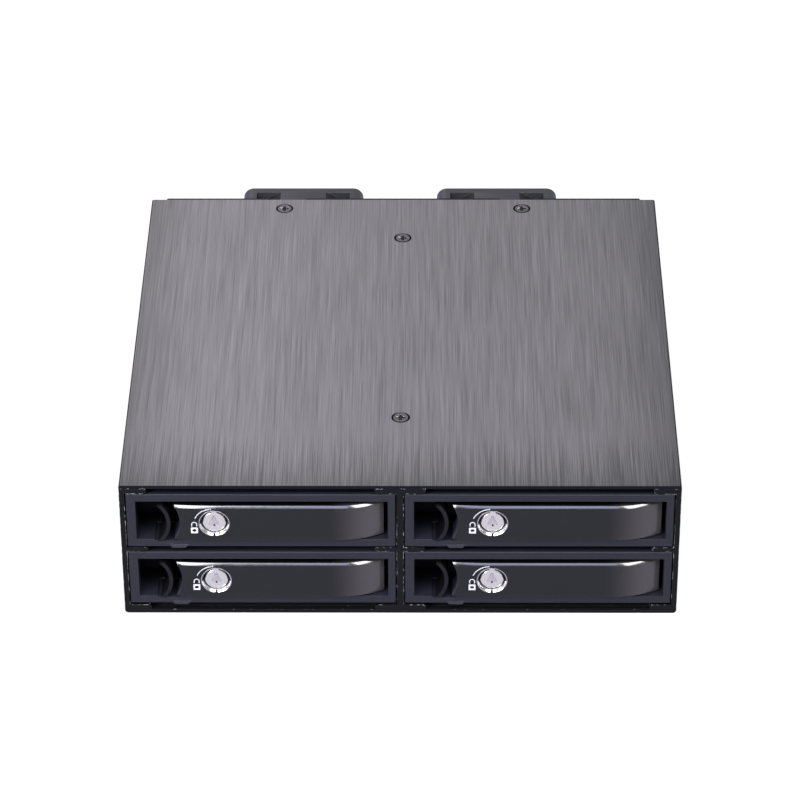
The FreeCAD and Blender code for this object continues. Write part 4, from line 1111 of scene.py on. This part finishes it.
@dataclass
class Lock(TrayPart):
    """The key lock: a chromed ring in the lever, and a barrel that turns."""

    ring_radius: float = 4.05
    ring_bore: float = 3.4
    ring_seat: float = 3.78
    ring_depth: float = 3.6
    cone_depth: float = 0.3
    rim_proud: float = 0.36
    rim_outside: float = 0.1
    # from the rim's outer corner inwards and back: a rounding, a narrow flat
    rim_steps: tuple = ((0.03, 0.03), (0.1, 0.0), (0.15, 0.0), (0.2, 0.03))
    notch_half: float = 0.35
    notch_front: float = 0.6
    notch_depth: float = 0.25
    notch_past: tuple[float, float] = (0.2, 0.1)
    # painted shade lies this far inside the ring's edge and behind its lip, and
    # comes this far down each side, as a share of the radius
    shade_inset: float = 0.22
    shade_behind: float = 0.01
    shade_down: float = 0.1
    ring_sharp: float = 40.0
    ring_steps: int = 72
    barrel_radius: float = 3.04
    # the barrel's worn edge, from its side inwards and from its face back
    edge_steps: tuple = ((0.2, 0.05), (0.0, 0.22))
    face_margin: float = 0.5
    key_top: float = 2.3
    key_foot: float = -0.95
    key_half: float = 1.5
    key_step: float = 0.06
    key_depth: float = 0.2
    key_runout: float = 1.1
    key_hole: float = 0.27
    hole_depth: float = 0.8
    # the keyway's shaded slopes lie between the first two depths, near-black painted
    # shade down to the third
    recess_depths: tuple[float, float, float] = (0.03, 0.38, 1.2)
    recess_reach: float = 2.5
    barrel_sharp: float = 24.0
    barrel_steps: int = 96
    face_rings: int = 30
    tab_half: float = 0.72
    tab_overlap: float = 0.45
    tab_inset: float = 0.06
    tab_proud: float = 0.4
    tab_thickness: float = 0.3
    cam_radius: float = 0.95
    cam_thickness: float = 1.0
    cam_steps: int = 13

    def build(self) -> None:
        """Make the ring, then the barrel."""
        self.make_ring()
        self.make_barrel()

    def make_ring(self) -> None:
        """Chromed ring, a countersink with a narrow lip and a notch at its
        foot, round the barrel."""
        face, lip = self.face, self.face - self.rim_proud
        outer, inner = self.ring_radius, self.ring_bore
        loop = np.array([
            (inner, face + self.ring_depth), (self.ring_seat, face + self.ring_depth),
            (self.ring_seat, face), (outer, face), (outer, lip + self.rim_outside),
            *[(outer - inward, lip + back) for inward, back in self.rim_steps],
            (inner, face + self.cone_depth)])
        ring = self.closed_lathe("lock_ring", loop)
        foot, (below, above) = self.lock_spot(face), self.notch_past
        subtract(ring, box_tool(
            foot + (-self.notch_half, -self.notch_front, -outer - below),
            foot + (self.notch_half, self.notch_depth, -inner + above)))
        self.darken_ring(ring)
        ring.data.set_sharp_from_angle(angle=math.radians(self.ring_sharp))
        self.finish(ring, "lever", "chrome_ring", "lock_housing")

    def darken_ring(self, ring: bpy.types.Object) -> None:
        """Give the upper part of the countersink painted shade, a near-black
        finish where its inner wall lies in shade.

        Args:
            ring: the piece whose faces are painted.
        """
        self.wardrobe.dress(ring, "chrome_ring")
        ring.data.materials.append(self.wardrobe.get("painted_shade"))
        limit = self.ring_radius - self.shade_inset
        for polygon, place, reach in faces_about(ring, self.lock_spot(self.face)):
            inside = reach < limit and place[1] > self.shade_behind - self.rim_proud
            if inside and place[2] > -self.shade_down * reach:
                polygon.material_index = 1

    def closed_lathe(self, name: str, loop: np.ndarray) -> bpy.types.Object:
        """Turn a closed loop of (radius, depth) about the lock's axis.

        Args:
            name: the piece's name, without the tray's.
            loop: N x 2 array of the loop's points.

        Returns:
            The new object.
        """
        steps = self.ring_steps
        angle = np.arange(steps) * 2.0 * math.pi / steps
        points = np.stack([
            loop[:, :1] * np.cos(angle), np.repeat(loop[:, 1:], steps, axis=1),
            loop[:, :1] * np.sin(angle)], axis=-1)
        points = points.reshape(-1, 3) + self.lock_spot(0.0)
        piece = to_mesh(self.name(name), points,
                        grid_faces(len(loop), steps, close=True))
        recalculate(piece)
        return piece

    def make_barrel(self) -> None:
        """The barrel: an edge worn round, a pressed keyway, an index tab at
        the top and a cam on its tail."""
        front = (low_of(self.name("lock_barrel")) - self.origin)[1]
        _, back, cam_top = high_of(self.name("lock_barrel")) - self.origin
        cam_front, radius = back - self.cam_thickness, self.barrel_radius
        face = np.linspace(0.0, radius - self.face_margin, self.face_rings)
        profile = np.concatenate([
            np.column_stack([face, np.full(len(face), front)]),
            [(radius - inward, front + behind) for inward, behind in self.edge_steps],
            [(radius, cam_front), (0, cam_front)]])
        barrel = turned(self.name("lock_core"), profile, self.lock_spot(0.0),
                        np.array([0.0, 1.0, 0.0]), self.barrel_steps)
        self.press_keyway(barrel, front)
        recalculate(barrel)
        self.paint_recess(barrel, front)
        barrel.data.set_sharp_from_angle(angle=math.radians(self.barrel_sharp))
        self.finish(barrel, "lock", "lock_barrel", "lock_barrel")
        tab_front = self.face - self.tab_proud
        tab = self.prism_data(self.tab_outline(), tab_front,
                              tab_front + self.tab_thickness)
        cam = self.prism_data(self.cam_outline(cam_top), cam_front, back)
        for piece_name, (points, faces) in (("lock_tab", tab), ("lock_cam", cam)):
            piece = to_mesh(self.name(piece_name), points, faces, smooth=False)
            recalculate(piece)
            self.finish(piece, "lock", "lock_barrel")

    def press_keyway(self, barrel: bpy.types.Object, front: float) -> None:
        """Sink the keyway into the barrel's face: a tent, narrow at the top,
        whose two slopes fall from a ridge in the middle to its sides and run
        out downwards, with a round hole at its foot.

        Args:
            barrel: the piece whose face is pressed.
            front: depth of that face.
        """
        places = np.empty(len(barrel.data.vertices) * 3)
        barrel.data.vertices.foreach_get("co", places)
        places = places.reshape(-1, 3)
        spot = places / MM - self.lock_spot(front)
        across, up = spot[:, 0], spot[:, 2]
        half = self.key_half * np.clip((self.key_top - up)
                                       / (self.key_top - self.key_foot), 0.0, 1.0)
        share = np.abs(across) / np.maximum(half, 1e-6)
        inside = (share < 1.0) & (up > self.key_foot)
        runout = np.clip((up - self.key_foot) / self.key_runout, 0.0, 1.0)
        sunk = np.where(inside, (self.key_step + self.key_depth * share) * runout, 0.0)
        hole = np.hypot(across, up - self.key_foot) < self.key_hole
        sunk = np.where(hole, self.hole_depth, sunk)
        # only the flat face's own points, without its outermost ring
        flat = (np.abs(spot[:, 1]) < 1e-3) & (
            np.hypot(across, up) < self.barrel_radius - self.face_margin - 0.02)
        places[:, 1] += np.where(flat, sunk, 0.0) * MM
        barrel.data.vertices.foreach_set("co", places.reshape(-1))
        barrel.data.update()

    def paint_recess(self, barrel: bpy.types.Object, front: float) -> None:
        """Give the keyway's slopes painted shade in a darker, duller metal, and its foot
        near-black painted shade.

        Args:
            barrel: the piece whose faces are painted.
            front: depth of the barrel's face.
        """
        self.wardrobe.dress(barrel, "lock_barrel")
        for key in ("keyway_floor", "painted_shade"):
            barrel.data.materials.append(self.wardrobe.get(key))
        floor, foot, end = self.recess_depths
        for polygon, place, reach in faces_about(barrel, self.lock_spot(front)):
            if reach < self.recess_reach and floor < place[1] < end:
                polygon.material_index = 2 if place[1] > foot else 1

    def tab_outline(self) -> np.ndarray:
        """Index tab at the top of the barrel: a bar that lies over the ring."""
        half, low = self.tab_half, self.barrel_radius - self.tab_overlap
        high = self.ring_radius - self.tab_inset
        return np.array([(-half, low), (half, low), (half, high), (-half, high)])

    def cam_outline(self, top: float) -> np.ndarray:
        """Cam seen from the front: a bar with round ends, upright at rest."""
        radius = self.cam_radius
        tip = top - self.lock_centre[1] - radius
        turn = np.linspace(0.0, math.pi, self.cam_steps)
        upper = [(radius * math.cos(t), tip + radius * math.sin(t)) for t in turn]
        lower = [(-radius * math.cos(t), -radius * math.sin(t)) for t in turn]
        return np.array(upper + lower)

    def prism_data(self, outline: np.ndarray, front: float, back: float
                   ) -> tuple[np.ndarray, list]:
        """An outline about the lock's axis carried from one depth to another."""
        rows = [np.column_stack([outline[:, 0], np.full(len(outline), depth),
                                 outline[:, 1]]) for depth in (front, back)]
        count = len(outline)
        faces = grid_faces(2, count)
        faces += [list(range(count)), list(range(count, 2 * count))[::-1]]
        return np.concatenate(rows) + self.lock_spot(0.0), faces


@dataclass
class Marks(TrayPart):
    """Printed marks on the lever's face: an open padlock, and an arc that ends
    in a dot and shows which way the key turns. Places are (across, up) from the
    lock's axis."""

    arc_turn: tuple[float, float] = (158.0, 94.0)
    arc_middle: tuple[float, float] = (-0.6, -0.4)
    arc_radius: float = 4.75
    arc_width: tuple[float, float] = (0.09, 0.12)
    dot_radius: float = 0.21
    padlock: tuple[float, float] = (-5.22, -2.42)
    padlock_half: tuple[float, float] = (0.9, 0.9)
    window: tuple[float, float] = (0.56, 0.44)
    shackle: float = 0.65
    shackle_rise: float = 1.97
    shackle_width: float = 0.11
    ink: tuple[float, float] = (-0.03, 0.02)
    arc_points: int = 25
    dot_points: int = 17
    bow_points: int = 13
    ray_turn: float = 7.5

    def build(self) -> None:
        """Join the strokes into one piece of ink."""
        turn = np.radians(np.linspace(*self.arc_turn, self.arc_points))
        line = self.lock_centre + self.arc_middle + self.arc_radius * np.column_stack(
            [np.cos(turn), np.sin(turn)])
        round_turn = np.radians(np.linspace(0, 360, self.dot_points))[:-1]
        circle = np.column_stack([np.cos(round_turn), np.sin(round_turn)])
        strokes = [self.stroke(line, np.linspace(*self.arc_width, len(line))),
                   self.stroke(line[-1] + self.dot_radius * circle, None)]
        body = self.lock_centre + self.padlock
        bow = np.radians(np.linspace(180.0, 0.0, self.bow_points))
        loop = self.shackle * np.column_stack([np.cos(bow), np.sin(bow)])
        legs = [[(side * self.shackle, -self.shackle)] for side in (-1.0, 1.0)]
        shackle = np.concatenate([legs[0], loop, legs[1]])
        strokes.append(self.stroke(body + (0.0, self.shackle_rise) + shackle,
                                   np.full(len(shackle), self.shackle_width)))
        strokes.append(self.padlock_body(body))
        marks = to_mesh(self.name("lever_marks"), *joined(strokes), smooth=False)
        recalculate(marks)
        self.finish(marks, "lever", "white_ink")

    def at_ink(self, outline: np.ndarray, side: int) -> np.ndarray:
        """Put an outline at the ink's front or back, in the frame."""
        depth = np.full(len(outline), self.face + self.ink[side])
        return np.column_stack([outline[:, 0], depth, outline[:, 1]]) + self.origin

    def padlock_body(self, middle: np.ndarray) -> tuple[np.ndarray, list]:
        """The padlock's body: a box with an oval window in it.

        Args:
            middle: its centre as (across, up).

        Returns:
            Points and faces of a thin solid on the lever's face.
        """
        turn = np.radians(np.arange(0.0, 360.0, self.ray_turn))
        ray = np.column_stack([np.cos(turn), np.sin(turn)])
        reach = 1.0 / np.max(np.abs(ray) / self.padlock_half, axis=1)
        outer, inner = middle + ray * reach[:, None], middle + ray * self.window
        points = [self.at_ink(ring, side) for ring, side in (
            (outer, 0), (inner, 0), (inner, 1), (outer, 1))]
        return np.concatenate(points), grid_faces(4, len(turn), close=True)

    def stroke(self, line: np.ndarray, half_width: np.ndarray | None
               ) -> tuple[np.ndarray, list]:
        """A thin flat solid on the lever's face: a line with a width on both
        sides of it, or a filled loop where no width is given.

        Args:
            line: N x 2 array of (across, up).
            half_width: half the width at each point, or None.

        Returns:
            Points and faces.
        """
        if half_width is None:
            outline = line
        else:
            step = np.gradient(line, axis=0)
            side = np.stack([-step[:, 1], step[:, 0]], axis=1)
            side *= half_width[:, None] / np.linalg.norm(side, axis=1)[:, None]
            outline = np.concatenate([line + side, (line - side)[::-1]])
        count = len(outline)
        faces = grid_faces(2, count)
        if half_width is None:
            faces += [list(range(count)), list(range(count, 2 * count))[::-1]]
        else:
            for index in range(count // 2 - 1):
                quad = [index, index + 1, count - 2 - index, count - 1 - index]
                faces += [quad, [count + place for place in reversed(quad)]]
        points = np.concatenate([self.at_ink(outline, 0), self.at_ink(outline, 1)])
        return points, faces


@dataclass
class TrayFront(TrayPart):
    """The visible front of one tray: lever, lock, marks, bezel and latch."""

    bezel_edge: float = 0.14
    latch_edge: float = 0.2
    guide_edge: float = 0.12
    spring_edge: float = 0.05
    latch_travel: float = 1.3

    def build(self) -> None:
        """Make all the pieces of this tray's front."""
        for part in (Lever, Lock, Marks):
            part(self.bay, self.wardrobe).build()
        for node, body, width, finish in (
                ("bezel", "tray", self.bezel_edge, "bezel_plastic"),
                ("latch", "latch", self.latch_edge, "latch_plastic"),
                ("light_guide", "tray", self.guide_edge, "light_guide")):
            soft_copy(self.name(node), self.name(body), width, finish, self.wardrobe)
        self.make_spring()
        LOG.info("tray front %s built", self.bay.value)

    def make_spring(self) -> None:
        """The latch's leaf spring: a round-edged copy of its CAD node, with a
        mesh of its own."""
        node = self.name("latch_spring")
        spring = soft_copy(node, self.name("tray"), self.spring_edge,
                           "spring_steel", self.wardrobe, 1)
        self.name("latch_slide")
        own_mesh(spring)


# ---------------------------------------------------------------------- cage
@dataclass
class Case:
    """The cage's own fasteners, placed from its plates' boxes, and its fans.
    Each panel screw is (out from the middle, above the floor)."""

    wardrobe: Wardrobe
    centre_screws: tuple[float, float] = (31.3, 121.9)
    side_screw_back: float = 138.0
    side_screw_out: float = 34.3
    cover_head: float = 2.45
    panel_screws: tuple = ((67.2, 8.0), (67.2, 33.0), (50.2, 6.2), (50.2, 35.2))
    panel_head: float = 2.6
    fan_hole_pitch: float = 29.0
    fan_head: float = 2.2
    fan_edge: float = 0.12
    fan_gap: float = 2.75
    fan_drum: tuple[float, float] = (17.4, 19.4)
    fan_oblique: float = 0.08
    bezel_screw_across: tuple[float, float] = (10.0, 60.1)
    bezel_screw_back: float = 16.9
    bezel_head: float = 2.0

    def build(self) -> None:
        """Make the screws of the cover, the rear panel, the fans and the
        trays, and dress the fans."""
        front = low_of("front_plate")[1]
        top = high_of("top_cover")[2]
        spots = [(0.0, front + depth, top) for depth in self.centre_screws]
        spots += [(sign * self.side_screw_out, front + self.side_screw_back, top)
                  for sign in (-1.0, 1.0)]
        ScrewHead(self.wardrobe, self.cover_head, Head.FLUSH).build(
            "cover_screw_heads", spots, np.array([0.0, 0.0, 1.0]), "cage",
            "cover_screw", ("cover_screws",))
        back = np.array([0.0, 1.0, 0.0])
        plate = high_of("rear_panel")[1]
        spots = [(sign * out, plate, up) for sign in (-1.0, 1.0)
                 for out, up in self.panel_screws]
        ScrewHead(self.wardrobe, self.panel_head, Head.PAN).build(
            "rear_screw_heads", spots, back, "cage", "plated_screw")
        reach = self.fan_hole_pitch / 2
        spots = []
        for side in ("left", "right"):
            middle = centre_of(f"{side}_fan_frame")
            spots += [(middle[0] + x * reach, high_of(f"{side}_fan_frame")[1],
                       middle[2] + z * reach) for x in (-1, 1) for z in (-1, 1)]
        ScrewHead(self.wardrobe, self.fan_head, Head.PAN).build(
            "fan_screw_heads", spots, back, "cage", "plated_screw")
        for bay in Bay:
            self.bezel_screws(bay)
        for side in ("left", "right"):
            self.dress_fan(side)
        LOG.info("screws and fans built")

    def dress_fan(self, side: str) -> None:
        """Round a fan housing's edges, and give the round drum between its
        flanges painted shade, since it lies deep between them.

        Args:
            side: which fan.
        """
        node = f"{side}_fan_frame"
        housing = soft_copy(node, "cage", self.fan_edge, "fan_plastic", self.wardrobe)
        # painted shade on the drum between the flanges
        housing.data.materials.append(self.wardrobe.get("painted_shade"))
        inside, outside = self.fan_drum
        for polygon, place, reach in faces_about(housing, centre_of(node)):
            tilt = min(abs(polygon.normal.x), abs(polygon.normal.z))
            between = abs(place[1]) < self.fan_gap and tilt > self.fan_oblique
            if between and inside < reach < outside:
                polygon.material_index = 1

    def bezel_screws(self, bay: Bay) -> None:
        """The two screws under a tray that hold its bezel to its pan.

        Args:
            bay: the tray.
        """
        corner = low_of(f"{bay.value}_bezel")
        under = low_of(f"{bay.value}_pan")[2]
        spots = [(corner[0] + across, corner[1] + self.bezel_screw_back, under)
                 for across in self.bezel_screw_across]
        head = ScrewHead(self.wardrobe, self.bezel_head, Head.PAN, rise=0.45,
                         recess=0.4, shank=1.0)
        head.build(f"{bay.value}_bezel_screw_heads", spots, np.array([0.0, 0.0, -1.0]),
                   f"{bay.value}_tray", "plated_screw")


# -------------------------------------------------------------------- studio
@dataclass
class Softbox:
    """A soft rectangular lamp that looks at a point."""

    name: str
    place: tuple[float, float, float]
    size: tuple[float, float]
    radiance: float
    colour: str = "ffffff"
    target: tuple[float, float, float] = (0.0, -0.03, 0.02)

    def build(self) -> None:
        """Put the lamp into the scene. Its power follows from its area and
        from how bright it looks."""
        lamp = bpy.data.lights.new(self.name, "AREA")
        lamp.shape = "RECTANGLE"
        lamp.size, lamp.size_y = self.size
        lamp.energy = self.radiance * math.pi * self.size[0] * self.size[1]
        lamp.color = linear(self.colour)[:3]
        holder = bpy.data.objects.new(self.name, lamp)
        bpy.context.scene.collection.objects.link(holder)
        holder.location = self.place
        aim = Vector(self.target) - Vector(self.place)
        holder.rotation_euler = aim.to_track_quat("-Z", "Y").to_euler()


@dataclass
class Studio:
    """White sweep, soft lamps and the camera."""

    lens: float = 168.4
    sensor: float = 36.0
    camera_place: tuple[float, float, float] = (0.007657, -0.864795, 0.60447)
    yaw: float = -0.009544
    pitch: float = 0.597434
    roll: float = -0.004892
    floor_half: float = 6.0
    floor_white: float = 0.9
    floor_glow: float = 0.86
    floor_seen: float = 1.04
    floor_mirrored: float = 0.68
    floor_hue: str = "dddcfa"
    room_level: float = 0.34

    def build(self) -> None:
        """Make everything that isn't the object."""
        scene = bpy.context.scene
        scene.view_settings.view_transform = "Standard"
        self.make_world()
        self.make_floor()
        for lamp in (
                Softbox("left_window", (-0.4, -0.7, 1.14), (0.57, 0.46), 18.0, "f2f0ff"),
                Softbox("right_window", (0.49, -0.56, 1.09), (0.65, 0.46), 13.0),
                Softbox("middle_card", (0.03, -0.72, 1.18), (0.26, 0.46), 5.3, "bcc4e6"),
                Softbox("left_key", (-0.46, -0.4, 0.26), (0.24, 0.24), 14.0),
                Softbox("left_back_box", (-0.55, 1.15, 0.8), (0.8, 0.7), 1.0)):
            lamp.build()
        self.make_camera()

    def make_world(self) -> None:
        """White all round for the eye, a plain soft level for the object."""
        world = bpy.data.worlds.new("white_room")
        world.use_nodes = True
        bpy.context.scene.world = world
        tree = world.node_tree
        seen = add_node(tree, "LightPath")
        direct = add_node(tree, "Math", {"operation": "MAXIMUM"}, {
            0: seen.outputs["Is Camera Ray"], 1: seen.outputs["Is Transmission Ray"]})
        level = add_node(tree, "MapRange", inputs={
            "Value": direct.outputs["Value"], "To Min": self.room_level,
            "To Max": 1.0})
        back = tree.nodes["Background"]
        back.inputs["Color"].default_value = WHITE
        tree.links.new(level.outputs["Result"], back.inputs["Strength"])

    def make_floor(self) -> None:
        """White paper under the object that still takes its shadow."""
        half = self.floor_half / MM
        points = [(-half, -half, 0), (half, -half, 0), (half, half, 0), (-half, half, 0)]
        floor = to_mesh("studio_floor", points, [[0, 1, 2, 3]], False)
        paper = bpy.data.materials.new("white_paper")
        paper.use_nodes = True
        tree = paper.node_tree
        shader = tree.nodes["Principled BSDF"]
        shader.inputs["Base Color"].default_value = (*[self.floor_white] * 3, 1.0)
        shader.inputs["Roughness"].default_value = 1.0
        seen = add_node(tree, "LightPath")
        level = add_node(tree, "MapRange", inputs={
            "Value": seen.outputs["Is Camera Ray"], "To Min": self.floor_mirrored,
            "To Max": self.floor_seen})
        hue = add_node(tree, "Mix", {"data_type": "RGBA"}, {
            "Factor": seen.outputs["Is Camera Ray"],
            MIX_LOW: linear(self.floor_hue), MIX_HIGH: WHITE})
        glow = add_node(tree, "Emission", inputs={
            "Color": hue.outputs[MIX_RESULT], "Strength": level.outputs["Result"]})
        direct = add_node(tree, "Math", {"operation": "MAXIMUM"}, {
            0: seen.outputs["Is Camera Ray"], 1: seen.outputs["Is Glossy Ray"]})
        share = add_node(tree, "Math", {"operation": "MULTIPLY"}, {
            0: direct.outputs["Value"], 1: self.floor_glow})
        mix = add_node(tree, "MixShader", inputs={
            "Fac": share.outputs["Value"], 1: shader.outputs["BSDF"],
            2: glow.outputs["Emission"]})
        tree.links.new(mix.outputs["Shader"],
                       tree.nodes["Material Output"].inputs["Surface"])
        floor.data.materials.append(paper)

    def make_camera(self) -> None:
        """Set the camera by its place, lens and three turns."""
        cp, sp = math.cos(self.pitch), math.sin(self.pitch)
        cy, sy = math.cos(self.yaw), math.sin(self.yaw)
        cr, sr = math.cos(self.roll), math.sin(self.roll)
        ahead = Vector((sy * cp, cy * cp, -sp))
        right = Vector((cy, -sy, 0.0))
        up = right.cross(ahead)
        across = cr * right + sr * up
        above = -sr * right + cr * up
        data = bpy.data.cameras.new("camera")
        data.lens = self.lens
        data.sensor_width = self.sensor
        camera = bpy.data.objects.new("camera", data)
        bpy.context.scene.collection.objects.link(camera)
        turn = Matrix((across, above, -ahead)).transposed()
        camera.matrix_world = Matrix.Translation(self.camera_place) @ turn.to_4x4()
        bpy.context.scene.camera = camera


def dress_frame(wardrobe: Wardrobe) -> None:
    """Give every CAD node the finish of its material slot."""
    for part in frame["record"]["subparts"]:
        key = part["material_slot"]
        wardrobe.dress(frame["nodes"][part["node"]], key)
        LOG.info("%s: %s", part["node"], key)


def main() -> None:
    """Dress the cage, build the trays' fronts, light and frame the scene."""
    logging.basicConfig(level=logging.INFO)
    wardrobe = Wardrobe()
    dress_frame(wardrobe)
    Case(wardrobe).build()
    for bay in Bay:
        TrayFront(bay, wardrobe).build()
    Studio().build()


if __name__ == "__main__":
    main()
